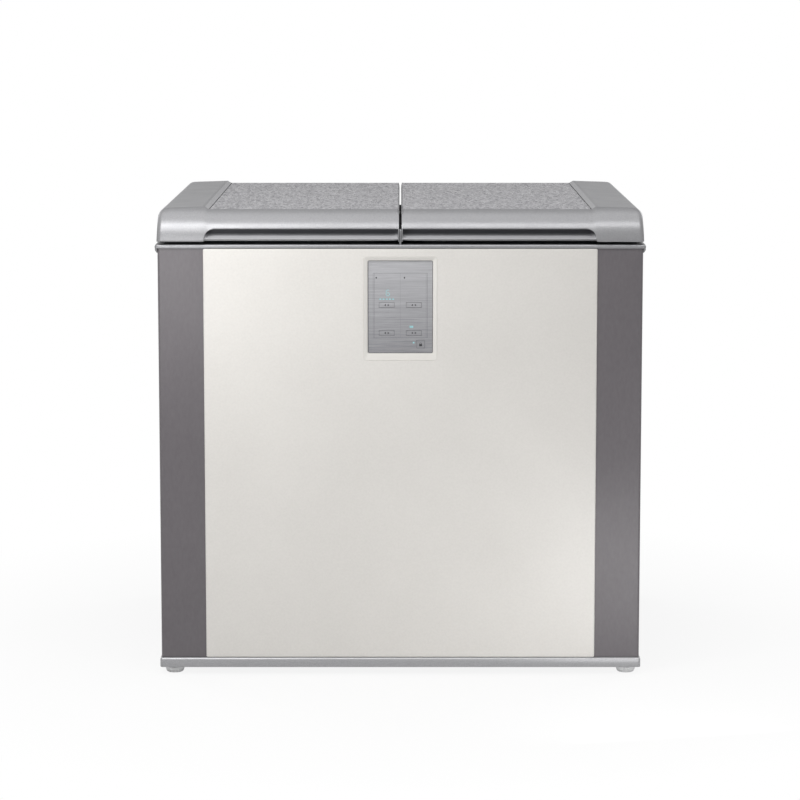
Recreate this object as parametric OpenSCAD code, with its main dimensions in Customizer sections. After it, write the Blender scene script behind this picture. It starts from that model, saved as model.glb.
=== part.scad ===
// Two-room kimchi refrigerator with two top lids.
// Millimetres. +Z is up, the front faces -Y, +X is to the viewer's right.
// The origin lies under the centre of the footprint, on the floor.

/* [Overall] */
// Width over the deck frame
overall_w = 925; // [900:1:960]
// Depth from the lids' noses to the rear spacers
overall_d = 786; // [760:1:820]
// Height to the top of the lids' end caps
overall_h = 894; // [860:1:930]

/* [Cabinet] */
// Side case, set in from the deck frame's edge
frame_lip = 5; // [4:0.5:8]
// Thickness of the case and panel sheets
sheet = 1; // [0.8:0.1:1.4]
// Radius of the case's front corners
case_r = 5; // [4:0.5:7]
// Width of the pale front panel
panel_w = 743; // [700:1:760]
// How far the front panel stands proud of the side cases
panel_proud = 3; // [2.5:0.5:4]
// Space behind the rear panel, kept free by the spacers
wall_gap = 48; // [44:1:60]
// Height of the deck frame's front band
frame_h = 7.6; // [6.6:0.2:9]
// Height of the deck frame's side skirts below the band
skirt_h = 9; // [6:0.5:12]

/* [Rooms] */
// Foam beside the rooms
side_wall = 73.5; // [66:0.5:95]
// Foam behind the rooms
rear_wall = 68; // [60:1:90]
// Foam between the deep part and the machine compartment
step_wall = 65; // [60:1:90]
// Depth of the front part below the deck
room_depth = 690; // [660:1:700]
// Depth of the rear part below the deck
rear_depth = 430; // [400:1:440]
// Foam between the two rooms
mullion = 66; // [60:1:72]
// Foam in front of the rooms
front_wall = 61; // [55:1:66]
// Radius of the rooms' corners
room_r = 32; // [24:1:40]
// Liner thickness
liner_t = 1.2; // [1:0.1:1.6]
// Radius of the evaporator tube
evap_r = 4; // [3:0.25:4.5]
// Thickness of the deck collar
collar_t = 3; // [2.4:0.2:4]
// Height of the rib between the lids
rib_h = 19; // [8:0.5:20]
// Thickness of the rib between the lids
rib_t = 3.2; // [2.4:0.2:3.4]
// Height of the rib's front end, between the lids' noses
post_h = 29; // [20:0.5:31]

/* [Lids] */
// Height of a lid at its end cap
lid_h = 62.6; // [58:0.2:70]
// Height of the seal under a lid
seal_h = 5.4; // [5:0.1:6.4]
// Drop from the end cap's top to the inlay's top
cap_step = 4.5; // [3:0.25:6]
// Width of the bevel from an end cap down to the inlay
cap_bevel = 7.5; // [4:0.5:9]
// Radius of the rounded nose
nose_r = 60; // [52:0.5:64]
// Slope of the nose where it leaves the top
nose_tilt = 15; // [10:1:20]
// Width of an end cap
cap_w = 89; // [80:1:96]
// Radius of the end cap's outer shoulder
shoulder_r = 16; // [12:0.5:18]
// Lid wall
lid_wall = 2.5; // [2:0.1:3]
// Thickness of the decorative inlay
inlay_t = 3; // [2:0.2:4]
// Half of the gap between the two lids
lid_gap = 2.2; // [2:0.1:3]
// Depth that a lid's plug reaches into its room
plug_h = 23; // [15:1:30]
// Clearance round the plug
plug_gap = 8; // [7:0.5:12]
// Width of the seal
seal_w = 13; // [10:0.5:16]
// Radius of the finger pocket
grip_r = 20; // [19:0.5:23]
// Wall of the finger pocket
grip_t = 2; // [1.6:0.1:2.4]
// Radius of the finger pocket's outer corner
grip_corner = 18; // [12:1:20]

/* [Hinges] */
// Radius of a hinge pin
pin_r = 3; // [2.5:0.25:3.5]
// Running clearance round pins, shafts and threads
run_gap = 0.05; // [0.03:0.01:0.08]
// Radius of the hinge knuckles
knuckle_r = 8; // [7:0.5:8.5]
// Hinge axis above the deck
hinge_up = 12; // [11:0.25:13]
// Hinge axis in front of the lids' rear edge
hinge_in = 21; // [20:0.5:23]
// Distance of the inner hinges from the middle
hinge_x_in = 80; // [65:1:120]
// Outer hinges, in from the lids' outer sides
hinge_side = 79; // [60:1:110]

/* [Controls] */
// Width of the bevelled recess
bezel_w = 138.8; // [132:0.2:150]
// Height of the bevelled recess
bezel_h = 197; // [192:0.5:210]
// Depth of the recess
bezel_d = 6; // [4:0.5:8]
// Depth of the slope that leads into the recess
bezel_slope = 2.6; // [1.5:0.1:3.5]
// Recess below the front panel's top edge
bezel_drop = 15; // [10:1:200]
// Width of the silver plate
fascia_w = 122.8; // [118:0.2:128]
// Height of the silver plate
fascia_h = 176; // [170:0.5:186]
// Silver plate below the recess's top edge
fascia_drop = 7.6; // [5:0.2:9]
// Thickness of the silver plate
fascia_t = 1.5; // [1.2:0.1:2]
// Width of a bar key
key_w = 28; // [24:0.5:30]
// Height of a bar key
key_h = 9; // [7:0.5:11]
// Side of the lock key
lock_w = 14.5; // [11:0.5:16]
// Gap round a key
key_gap = 0.4; // [0.3:0.05:0.5]
// Travel of a key
key_travel = 0.6; // [0.4:0.1:1]
// Bar keys beside the middle
key_x = 25.6; // [22:0.2:28]
// Upper keys below the plate's top edge
key_row_1 = 84.5; // [80:0.5:95]
// Lower keys below the plate's top edge
key_row_2 = 137.6; // [130:0.5:142]
// Lock key below the plate's top edge
lock_drop = 159; // [156:0.5:164]
// Lock key beside the middle
lock_x = 38.4; // [34:0.2:42]
// Depth of the housing behind the silver plate
housing_d = 26; // [24:1:34]

/* [Base] */
// Floor to the underside of the base frame
foot_h = 13.5; // [12:0.5:16]
// Height of the base frame
base_h = 19; // [18:0.5:24]
// Width of the base frame's rails
rail_w = 28; // [24:1:32]
// Radius of a foot's flat sole
sole_r = 14; // [10:0.5:15]
// Radius of a foot's rim
rim_r = 19; // [16:0.5:20]
// Radius of a foot's threaded stud
stud_r = 4; // [3:0.5:5]
// Front feet, in from the side cases
foot_side = 24; // [22:0.5:50]
// Front feet behind the front of the side cases
foot_in = 22; // [20:0.5:24]
// Radius of a rear roller
roller_r = 14; // [13:0.5:14]
// Width of a rear roller
roller_w = 18; // [14:1:22]
// Rear rollers, in from the side cases
roller_side = 62.5; // [58:0.5:100]
// Radius of a roller's axle
axle_r = 3; // [2.5:0.25:3.5]

/* [Machine compartment] */
// Height of the compartment above the base frame
mach_h = 297; // [285:1:300]
// Length of the compartment, front to rear
mach_l = 258; // [250:1:262]
// Radius of the compressor's shell
comp_r = 70; // [60:1:76]
// Height of the compressor's shell
comp_h = 165; // [140:1:180]
// Radius of the fan
fan_r = 60; // [50:1:62]
// Radius of the copper pipes
pipe_r = 3; // [2.5:0.25:4]
// Radius of the mains cord's gland bore
gland_r = 4; // [3.5:0.25:5]
// Radius of a case screw's head
screw_r = 4; // [3:0.25:5]
// Height of the power box
power_h = 170; // [120:5:180]
// Width of the power box
power_w = 160; // [120:5:180]
// Depth of the power box
power_d = 50; // [40:1:60]
// Width of a wall spacer
spacer_w = 40; // [30:1:60]
// Height of a wall spacer
spacer_h = 60; // [40:1:90]
// Wall of the plastic boxes and spacers
box_t = 3; // [2:0.5:4]
// Width of a louvre in the machine cover
louvre_w = 60; // [40:5:70]
// Height of a louvre
louvre_h = 6; // [4:0.5:8]

/* [Hidden] */
$fn = 64;

cream = [0.93, 0.92, 0.89];
taupe = [0.47, 0.45, 0.47];
silver = [0.72, 0.72, 0.73];
dark = [0.16, 0.16, 0.17];
white = [0.95, 0.95, 0.94];
steel = [0.6, 0.61, 0.63];
copper = [0.72, 0.45, 0.3];

// Planes, from the front to the rear
nose_y = -overall_d / 2;
frame_y = nose_y + 2;
trim_y = nose_y + 1.5;
panel_y = nose_y + 4;
case_y = panel_y + panel_proud;
back_y = overall_d / 2 - wall_gap;
lid_back_y = overall_d / 2 - 10;
foam_back_y = back_y - 2 * sheet;

// Half widths
frame_x = overall_w / 2;
case_x = frame_x - frame_lip;
lid_x = frame_x - 3.5;
trim_x = frame_x - 2.5;
flange_x = panel_w / 2 - 15;
cap_x = lid_x - cap_w;
foot_x = case_x - foot_side;
roller_x = case_x - roller_side;

// Heights
case_z = foot_h + base_h;
lid_z = overall_h - lid_h;
deck_z = lid_z - seal_h;
case_top = deck_z - frame_h;
panel_top = case_top - 0.4;
collar_z = deck_z - collar_t;
inlay_z = overall_h - cap_step;
mach_z = case_z + mach_h;

// Room outline
room_y = case_y + front_wall;
room_w = case_x - sheet - side_wall - mullion / 2;
room_back = foam_back_y - rear_wall;
mach_y = foam_back_y - mach_l;
deep_back = mach_y - step_wall;
deep_z = deck_z - room_depth;
rear_z = deck_z - rear_depth;
evap_out = liner_t + evap_r + 0.2;
evap_slot = liner_t + 2 * evap_r + 1;
collar_x = frame_x - 16;
collar_y = frame_y + 16;
collar_back = back_y - 8;

// Lid outline
crease_y = nose_y + nose_r * (1 - sin(nose_tilt));
nose_cz = inlay_z - nose_r * cos(nose_tilt);
cap_nose_r = nose_r + 0.9 * cap_step;
inlay_back = lid_back_y - 8;
inlay_start = lid_gap + 1.6;
ridge_x = cap_x - cap_bevel;
inlay_x = ridge_x - 0.5;
grip_cy = frame_y;
grip_top = lid_z + 24;
grip_end = cap_x - 1.4;
grip_start = lid_gap + 3.4;
hinge_y = lid_back_y - hinge_in;
hinge_z = deck_z + hinge_up;
hinge_xs = [hinge_x_in, lid_x - hinge_side];
ear_gap = 18;
ear_t = 3;
arm_x = ear_gap + ear_t + 3;
plug_z = lid_z - plug_h - seal_h;

// Control panel
bezel_top = panel_top - bezel_drop;
fascia_top = bezel_top - fascia_drop;
fascia_y = panel_y + bezel_d;
fascia_back = fascia_y + fascia_t;
key_flange = 1;
key_stem = 2.4;
stem_y = fascia_back + 0.1 + key_flange + key_stem;
switch_y = stem_y + key_travel + 0.1;
board_y = switch_y + 3.3;
board_t = 1.6;
housing_t = 2;

// Machine compartment places
gland_x = case_x - 87;
gland_z = case_z + 80;
comp_x = -case_x + comp_r + 87.5;
comp_z = case_z + 22;
fan_x = comp_x + comp_r + 110;
fan_z = case_z + 88;
fan_y = (mach_y + foam_back_y) / 2;
fan_depth = 24;
motor_l = 25;
shaft_r = 2.5;
fins = 14;
fin_pitch = 12;
cond_x0 = fan_x + fan_depth + 3 + motor_l + 30;
cond_x1 = cond_x0 + fins * fin_pitch;
drier_x = cond_x1 + 50;
valve_x = drier_x + 45;
drier_z = case_z + 50;
drier_h = 120;
valve_z = case_z + 215;
valve_neck = 12;
power_x = case_x - power_w - 27.5;

// ---------- Shared shapes ----------

module rounded(x0, x1, y0, y1, r) {
    translate([x0 + r, y0]) square([x1 - x0 - 2 * r, y1 - y0]);
    translate([x0, y0 + r]) square([x1 - x0, y1 - y0 - 2 * r]);
    for (x = [x0 + r, x1 - r], y = [y0 + r, y1 - r]) translate([x, y]) circle(r);
}

module rect(x0, x1, y0, y1) {
    translate([x0, y0]) square([x1 - x0, y1 - y0]);
}

// Plan outline raised from z0 to z1
module slab(z0, z1) {
    translate([0, 0, z0]) linear_extrude(z1 - z0) children();
}

// Outline in (x, z) carried from y0 to y1
module along_y(y0, y1) {
    translate([0, y1, 0]) rotate([90, 0, 0]) linear_extrude(y1 - y0) children();
}

// Outline in (y, z) carried from x0 to x1
module along_x(x0, x1) {
    translate([x0, 0, 0]) rotate([90, 0, 90]) linear_extrude(x1 - x0) children();
}

module box(x0, x1, y0, y1, z0, z1) {
    translate([x0, y0, z0]) cube([x1 - x0, y1 - y0, z1 - z0]);
}

module rod_x(x0, x1, y, z, r) {
    translate([x0, y, z]) rotate([0, 90, 0]) cylinder(h = x1 - x0, r = r);
}

module rod_y(x, y0, y1, z, r) {
    translate([x, y1, z]) rotate([90, 0, 0]) cylinder(h = y1 - y0, r = r);
}

module rod_z(x, y, z0, z1, r) {
    translate([x, y, z0]) cylinder(h = z1 - z0, r = r);
}

// Children drawn for the right half are mirrored onto the left
module left() { mirror([1, 0, 0]) children(); }

module both_sides() {
    children();
    left() children();
}

function arc(cx, cy, r, a0, a1, n) =
    [for (i = [0:n]) let (a = a0 + (a1 - a0) * i / n) [cx + r * cos(a), cy + r * sin(a)]];

// ---------- Cabinet ----------

module case_plan() {
    difference() {
        rounded(0, case_x, case_y, back_y - sheet, case_r);
        rounded(-50, case_x - sheet, case_y + sheet, foam_back_y, case_r - sheet);
        rect(-1, flange_x, case_y - 1, 0);
        rect(-1, case_x - 20, -1, back_y);
    }
}

module side_case() {
    color(taupe) difference() {
        slab(case_z, case_top) case_plan();
        screw_holes();
    }
}

module front_panel() {
    half = panel_w / 2;
    color(cream) difference() {
        along_y(panel_y, case_y) rounded(-half, half, case_z, panel_top, 2);
        along_y(panel_y + sheet, case_y + 1)
            rect(-half + sheet, half - sheet, case_z + sheet, panel_top - sheet);
        along_y(panel_y - 1, case_y) bezel_outline(0.2);
    }
}

// Screws along the rear flanges of the side cases and the cover
screw_zs = [mach_z + 30, (mach_z + case_top) / 2, case_top - 30];
cover_zs = [case_z + 25, mach_z - 25];
screw_x = case_x - 10;

module screw_places() {
    both_sides() {
        for (z = concat(screw_zs, cover_zs)) translate([screw_x, 0, z]) children();
    }
}

module screw_holes() {
    screw_places() rod_y(0, foam_back_y - 1, back_y + 1, 0, 2.2);
}

module case_screws() {
    color(steel) screw_places() {
        rod_y(0, back_y, back_y + 2, 0, screw_r);
        rod_y(0, foam_back_y, back_y, 0, 1.9);
    }
}

module rear_panel() {
    color(steel) difference() {
        box(-case_x, case_x, back_y - sheet, back_y, mach_z, case_top);
        screw_holes();
    }
}

module machine_cover() {
    color(steel) difference() {
        box(-case_x, case_x, back_y - sheet, back_y, case_z, mach_z - 0.2);
        screw_holes();
        for (x = [-case_x + 127.5:louvre_w * 1.5:case_x - 247.5], z = [case_z + 50:20:mach_z - 60])
            box(x, x + louvre_w, back_y - sheet - 1, back_y + 1, z, z + louvre_h);
        rod_y(gland_x, back_y - 5, back_y + 5, gland_z, gland_r + 3.7);
    }
}

module cord_gland() {
    color(dark) difference() {
        union() {
            rod_y(gland_x, back_y, back_y + 4, gland_z, gland_r + 6);
            rod_y(gland_x, back_y - 8, back_y, gland_z, gland_r + 3.5);
            rod_y(gland_x, back_y - 8, back_y - sheet - 0.2, gland_z, gland_r + 6);
        }
        rod_y(gland_x, back_y - 20, back_y + 20, gland_z, gland_r);
    }
}

module room(grow, top) {
    x0 = mullion / 2 - grow;
    x1 = mullion / 2 + room_w + grow;
    slab(rear_z - grow, top) rounded(x0, x1, room_y - grow, room_back + grow, room_r + grow);
    slab(deep_z - grow, rear_z + 1) rounded(x0, x1, room_y - grow, deep_back + grow, room_r + grow);
}

module room_liner() {
    top = collar_z;
    color(white) difference() {
        union() {
            room(liner_t, top);
            slab(top - liner_t, top)
                rounded(mullion / 2 - 10, mullion / 2 + room_w + 10, room_y - 10, room_back + 10,
                        room_r + 10);
        }
        room(0, top + 1);
    }
}

// Heights of the tube loops round the whole room and round its deep part
upper_loops = [for (i = [0:3]) rear_z + 50 + i * (rear_depth - 110) / 3];
lower_loops = [deep_z + 70, (deep_z + rear_z) / 2 + 30];

module tube_loop(z, back) {
    x0 = mullion / 2 - evap_out;
    x1 = mullion / 2 + room_w + evap_out;
    y0 = room_y - evap_out;
    y1 = back + evap_out;
    r = room_r + evap_out;
    for (p = [[x1 - r, y1 - r, 0], [x0 + r, y1 - r, 90], [x0 + r, y0 + r, 180], [x1 - r, y0 + r, 270]])
        translate([p[0], p[1], z]) rotate([0, 0, p[2]])
            rotate_extrude(angle = 90) translate([r, 0]) circle(evap_r);
    rod_x(x0 + r, x1 - r, y0, z, evap_r);
    rod_x(x0 + r, x1 - r, y1, z, evap_r);
    rod_y(x0, y0 + r, y1 - r, z, evap_r);
    rod_y(x1, y0 + r, y1 - r, z, evap_r);
}

riser_y = (room_y + deep_back) / 2;

module evaporators() {
    color(copper) both_sides() {
        for (z = upper_loops) tube_loop(z, room_back);
        for (z = lower_loops) tube_loop(z, deep_back);
        rod_z(mullion / 2 + room_w + evap_out, riser_y, lower_loops[0], upper_loops[3], evap_r);
    }
}

module evaporator_grooves() {
    x0 = mullion / 2 - evap_slot;
    x1 = mullion / 2 + room_w + evap_slot;
    h = evap_r + 0.5;
    for (z = upper_loops)
        slab(z - h, z + h) rounded(x0, x1, room_y - evap_slot, room_back + evap_slot, room_r);
    for (z = lower_loops)
        slab(z - h, z + h) rounded(x0, x1, room_y - evap_slot, deep_back + evap_slot, room_r);
    box(x1 - evap_slot, x1, riser_y - h, riser_y + h, lower_loops[0] - h, upper_loops[3] + h);
}

module foam_body() {
    inner_x = case_x - sheet;
    color([0.93, 0.88, 0.7]) difference() {
        union() {
            slab(case_z, case_top)
                rounded(-inner_x, inner_x, case_y + sheet, foam_back_y, case_r);
            along_y(panel_y + sheet, case_y + 2 * sheet)
                rect(-flange_x + 1, flange_x - 1, case_z + sheet, panel_top - sheet);
            slab(case_top - 1, collar_z - liner_t)
                rounded(-collar_x + 1, collar_x - 1, collar_y + 1, collar_back - 1, 11);
        }
        both_sides() {
            room(liner_t, deck_z);
            evaporator_grooves();
            slab(collar_z - liner_t, deck_z)
                rounded(mullion / 2 - 10, mullion / 2 + room_w + 10, room_y - 10, room_back + 10,
                        room_r + 10);
        }
        box(-inner_x, inner_x, mach_y, back_y, case_z - 1, mach_z);
        along_y(panel_y, fascia_back) bezel_outline(0.5);
        along_y(fascia_back - 1, fascia_back + housing_d + 0.5)
            rect(-fascia_w / 2 - 0.5, fascia_w / 2 + 0.5, fascia_top - fascia_h - 0.5, fascia_top + 0.5);
    }
}

module compartment_wall() {
    inner_x = case_x - sheet;
    color(steel) {
        box(-inner_x, inner_x, mach_y, mach_y + sheet, case_z, mach_z);
        box(-inner_x, inner_x, mach_y, foam_back_y - case_r, mach_z - sheet, mach_z);
    }
}

module collar_plan() { rounded(-collar_x, collar_x, collar_y, collar_back, 12); }

module deck_collar() {
    color(dark) difference() {
        slab(collar_z, deck_z) collar_plan();
        both_sides() room(0, deck_z + 1);
        box(-rib_t / 2 - 0.1, rib_t / 2 + 0.1, collar_y - 1, collar_back + 1, deck_z - 0.6, deck_z + 1);
    }
}

module deck_frame() {
    color(silver) {
        slab(case_top, deck_z) difference() {
            rounded(-frame_x, frame_x, frame_y, back_y, 6);
            rounded(-collar_x - 0.1, collar_x + 0.1, collar_y - 0.1, collar_back + 0.1, 12.1);
        }
        both_sides() skirt();
        along_x(-rib_t / 2, rib_t / 2) rib_side();
    }
}

// Side of the rib, which stands taller between the noses
module rib_side() {
    y0 = frame_y + 5;
    top = deck_z + rib_h;
    post = deck_z + post_h;
    rect(y0, back_y - 4, deck_z - 0.5, top);
    polygon([[y0, top - 1], [y0, post - 4], [y0 + 4, post], [y0 + 9, post], [y0 + 40, top],
             [y0 + 40, top - 1]]);
}

// Tapering skirt over the top of a side case
module skirt() {
    in = case_x + 0.2;
    along_y(case_y + 8, back_y)
        polygon([[in, case_top], [frame_x, case_top], [frame_x, case_top - 2],
                 [in + 1.2, case_top - skirt_h], [in, case_top - skirt_h]]);
}

// ---------- Base ----------

module base_frame() {
    x = case_x - 2;
    y0 = case_y + 3;
    y1 = foam_back_y - 1;
    wall = 1.5;
    z0 = foot_h + 0.5;
    color(steel) difference() {
        slab(z0, case_z) rect(-x, x, y0, y1);
        slab(z0 - 1, case_z - wall) rect(-x + rail_w, x - rail_w, y0 + 2 * foot_in, y1 - rail_w);
        both_sides() slab(z0 + wall, case_z - wall) {
            rect(x - rail_w + wall, x - wall, y0 + wall, y1 - wall);
        }
        slab(z0 + wall, case_z - wall) rect(-x + wall, x - wall, y0 + wall, y0 + 2 * foot_in - wall);
        slab(z0 + wall, case_z - wall) rect(-x + wall, x - wall, y1 - rail_w + wall, y1 - wall);
        both_sides() rod_z(foot_x, case_y + foot_in, z0 - 1, z0 + wall + 1, stud_r + run_gap);
    }
}

module base_trim() {
    color(silver) difference() {
        slab(foot_h, case_z - 0.5) rounded(-trim_x, trim_x, trim_y, case_y + 60, 5);
        slab(foot_h - 1, case_z) rounded(-case_x + 1, case_x - 1, case_y + 2, case_y + 80, 3);
        slab(foot_h - 1, case_z) rect(-trim_x - 1, trim_x + 1, case_y + 40, case_y + 80);
    }
}

// Levelling foot: a ribbed bowl on a threaded stud
module foot() {
    rim_z = foot_h - 2;
    color(white) translate([foot_x, case_y + foot_in, 0]) {
        difference() {
            rotate_extrude() polygon([[0, 0], [sole_r, 0], [sole_r + 2, 1.2], [rim_r - 1, rim_z - 6],
                                      [rim_r, rim_z - 2], [rim_r, rim_z], [0, rim_z]]);
            for (a = [0:30:330]) rotate([0, 0, a]) translate([rim_r + 0.6, 0, 3])
                cylinder(h = rim_z, r = 1.6);
        }
        cylinder(h = case_z - 4, r = stud_r);
    }
}

roller_y = foam_back_y - 1 - rail_w - roller_r - 5;

module roller() {
    color(dark) difference() {
        rod_x(roller_x - roller_w / 2, roller_x + roller_w / 2, roller_y, roller_r, roller_r);
        rod_x(roller_x - roller_w, roller_x + roller_w, roller_y, roller_r, axle_r + run_gap);
    }
}

module roller_brackets() {
    t = 2;
    color(steel) both_sides() for (s = [-1, 1]) translate([roller_x + s * (roller_w / 2 + 2), 0, 0])
        difference() {
            along_x(-t / 2, t / 2) {
                translate([roller_y, roller_r]) circle(axle_r + 4);
                rect(roller_y - axle_r - 4, roller_y + axle_r + 4, roller_r, case_z - 1.5);
            }
            rod_x(-t, t, roller_y, roller_r, axle_r);
        }
}

module roller_axles() {
    half = roller_w / 2 + 3;
    color(steel) both_sides() {
        rod_x(roller_x - half, roller_x + half, roller_y, roller_r, axle_r);
        for (x = [roller_x - half - 1, roller_x + half]) rod_x(x, x + 1, roller_y, roller_r, axle_r + 1.5);
    }
}

// ---------- Control panel ----------

module bezel_outline(grow) {
    rounded(-bezel_w / 2 - grow, bezel_w / 2 + grow, bezel_top - bezel_h - grow, bezel_top + grow, 5);
}

module fascia_outline(grow) {
    rounded(-fascia_w / 2 - grow, fascia_w / 2 + grow, fascia_top - fascia_h - grow,
            fascia_top + grow, 3);
}

module control_bezel() {
    floor_y = panel_y + bezel_slope;
    color(cream) difference() {
        along_y(panel_y, fascia_back) bezel_outline(0);
        hull() {
            along_y(panel_y - 1, panel_y) bezel_outline(-0.8, $fn = 32);
            along_y(floor_y, floor_y + 0.01) fascia_outline(0.6, $fn = 32);
        }
        along_y(floor_y, fascia_back + 1) fascia_outline(0.1);
    }
}

module key_outline(w, h, grow) {
    rounded(-w / 2 - grow, w / 2 + grow, -h / 2 - grow, h / 2 + grow, 2);
}

module at_bar_keys() {
    for (x = [-key_x, key_x], drop = [key_row_1, key_row_2])
        translate([x, 0, fascia_top - drop]) children();
}

module at_lock() { translate([lock_x, 0, fascia_top - lock_drop]) children(); }

module control_fascia() {
    color(silver) difference() {
        along_y(fascia_y, fascia_back) fascia_outline(0);
        at_bar_keys() along_y(fascia_y - 1, fascia_back + 1) key_outline(key_w, key_h, key_gap);
        at_lock() along_y(fascia_y - 1, fascia_back + 1) key_outline(lock_w, lock_w, key_gap);
        along_y(fascia_y - 1, fascia_y + light_t) light_shapes();
    }
}

module key_body(w, h) {
    color(silver) {
        along_y(fascia_y, fascia_back + 0.1) key_outline(w, h, 0);
        along_y(fascia_back + 0.1, fascia_back + 0.1 + key_flange) key_outline(w, h, 1.5);
        along_y(fascia_back + 0.1 + key_flange, stem_y) rect(-2, 2, -2, 2);
    }
}

module bar_key(x, drop) { translate([x, 0, fascia_top - drop]) key_body(key_w, key_h); }

light_t = 0.5;

// One bar of a lit digit, lying or upright
module bar_light(x, z, w, h) { translate([x - w / 2, z - h / 2]) square([w, h]); }

// Lit signs: a digit, a row of marks under it and two small lamps
module light_shapes() {
    digit_x = -key_x + 2;
    digit_z = fascia_top - key_row_1 + 23;
    for (i = [-1, 0, 1]) bar_light(digit_x, digit_z + i * 5.4, 4.6, 1.3);
    for (x = [-1, 1]) bar_light(digit_x + x * 3.1, digit_z - 2.7, 1.3, 4);
    bar_light(digit_x - 3.1, digit_z + 2.7, 1.3, 4);
    for (i = [0:4]) bar_light(-key_x - 12 + i * 6, fascia_top - key_row_1 + 11.2, 4, 2.4);
    bar_light(key_x - 4.6, fascia_top - key_row_2 + 11.8, 7, 4);
    bar_light(lock_x - 13.2, fascia_top - lock_drop + 3, 3, 3);
}

module display_lights() {
    color([0.65, 0.85, 0.87]) along_y(fascia_y, fascia_y + light_t) light_shapes();
}

module control_housing() {
    x = fascia_w / 2;
    z0 = fascia_top - fascia_h;
    back = fascia_back + housing_d;
    color(dark) difference() {
        box(-x, x, fascia_back, back, z0, fascia_top);
        box(-x + housing_t, x - housing_t, fascia_back - 1, board_y + board_t, z0 + housing_t,
            fascia_top - housing_t);
        box(-x + 12, x - 12, fascia_back, back - housing_t, z0 + 12, fascia_top - 12);
    }
}

module control_board() {
    x = fascia_w / 2 - housing_t - 0.5;
    top = fascia_top - housing_t - 0.5;
    color([0.1, 0.35, 0.2]) {
        box(-x, x, board_y, board_y + board_t, top - fascia_h + 2 * housing_t + 1, top);
        at_bar_keys() box(-3, 3, switch_y, board_y, -3, 3);
        at_lock() box(-3, 3, switch_y, board_y, -3, 3);
    }
}

// ---------- Machine compartment ----------

module compressor() {
    z0 = comp_z;
    r = comp_r;
    top = z0 + comp_h;
    color(dark) {
        translate([comp_x, fan_y, z0]) rotate_extrude()
            polygon(concat([[0, 0], [r - 12, 0]], arc(r - 12, 12, 12, -90, 0, 6),
                           arc(r - 40, comp_h - 40, 40, 0, 90, 10), [[0, comp_h]]));
        box(comp_x - r - 14, comp_x + r + 14, fan_y - 55, fan_y + 55, z0 - 3, z0);
        box(comp_x - 25, comp_x + 25, fan_y - r - 22, fan_y - r + 10, z0 + 40, z0 + 90);
        rod_z(comp_x, fan_y, top - 1, top + 4, 9);
    }
}

module compressor_mounts() {
    color(dark) for (sx = [-1, 1], sy = [-1, 1])
        translate([comp_x + sx * (comp_r + 3), fan_y + sy * 42, case_z])
            cylinder(h = comp_z - 3 - case_z, r = 9);
}

module condenser() {
    x0 = cond_x0;
    x1 = cond_x1;
    z0 = case_z + 8;
    fin_h = 155;
    fin_half = 60;
    tube_r = 4;
    bend = 15;
    color(steel) {
        for (x = [x0:fin_pitch:x1]) box(x, x + 1, fan_y - fin_half, fan_y + fin_half, z0, z0 + fin_h);
        for (z = [z0 + 25:35:z0 + 130], y = [fan_y - fin_half / 2, fan_y + fin_half / 2])
            rod_x(x0 - bend + 1, x1 + bend, y, z, tube_r);
        for (x = [x0 - bend, x1 + bend - 4]) box(x, x + 5, fan_y - 40, fan_y + 40, case_z, z0 + fin_h - 5);
    }
}

module fan_bracket() {
    half = fan_r + 8;
    back = fan_x + fan_depth;
    plate_t = 3;
    arm = 4;
    color(dark) {
        difference() {
            box(fan_x, back, fan_y - half, fan_y + half, fan_z - half, fan_z + half);
            rod_x(fan_x - 1, back + 1, fan_y, fan_z, fan_r + 3);
        }
        difference() {
            union() {
                rod_x(back, back + plate_t, fan_y, fan_z, 24);
                box(back, back + plate_t, fan_y - arm, fan_y + arm, fan_z - half, fan_z + half);
                box(back, back + plate_t, fan_y - half, fan_y + half, fan_z - arm, fan_z + arm);
            }
            rod_x(back - 1, back + plate_t + 1, fan_y, fan_z, 6);
        }
        box(fan_x, back, fan_y - 30, fan_y + 30, case_z, fan_z - half + 1);
    }
}

module fan_motor() {
    x0 = fan_x + fan_depth + 3;
    color(steel) difference() {
        rod_x(x0, x0 + motor_l, fan_y, fan_z, 22);
        rod_x(x0 - 1, x0 + motor_l - 5, fan_y, fan_z, shaft_r + run_gap);
    }
}

module fan_rotor() {
    color(white) {
        rod_x(fan_x + 3, fan_x + fan_depth - 3, fan_y, fan_z, 17);
        intersection() {
            rod_x(fan_x + 1, fan_x + fan_depth - 1, fan_y, fan_z, fan_r);
            for (i = [0:4]) translate([fan_x + fan_depth / 2, fan_y, fan_z]) rotate([i * 72, 0, 0])
                rotate([0, 0, 38]) translate([-1, -14, 10]) cube([2, 28, fan_r]);
        }
        rod_x(fan_x + 20, fan_x + fan_depth + motor_l - 4, fan_y, fan_z, shaft_r);
    }
}

module filter_drier() {
    neck = 10;
    color(copper) {
        rod_z(drier_x, fan_y, drier_z, drier_z + drier_h, 5);
        rod_z(drier_x, fan_y, drier_z + neck, drier_z + drier_h - neck, 9);
    }
}

module switching_valve() {
    color(steel) {
        rod_z(valve_x, fan_y, valve_z, valve_z + 30, 18);
        rod_z(valve_x, fan_y, valve_z - valve_neck, valve_z, 8);
        box(valve_x - 8, valve_x + 8, mach_y + sheet, fan_y, valve_z + 10, valve_z + 14);
    }
}

// A pipe run: straight tubes with round elbows at its corners
module pipe(points) {
    for (i = [0:len(points) - 2]) {
        d = points[i + 1] - points[i];
        len_xy = norm([d[0], d[1]]);
        translate(points[i]) rotate([0, atan2(len_xy, d[2]), atan2(d[1], d[0])])
            cylinder(h = norm(d), r = pipe_r);
        if (i > 0) translate(points[i]) sphere(pipe_r);
    }
}

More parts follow.
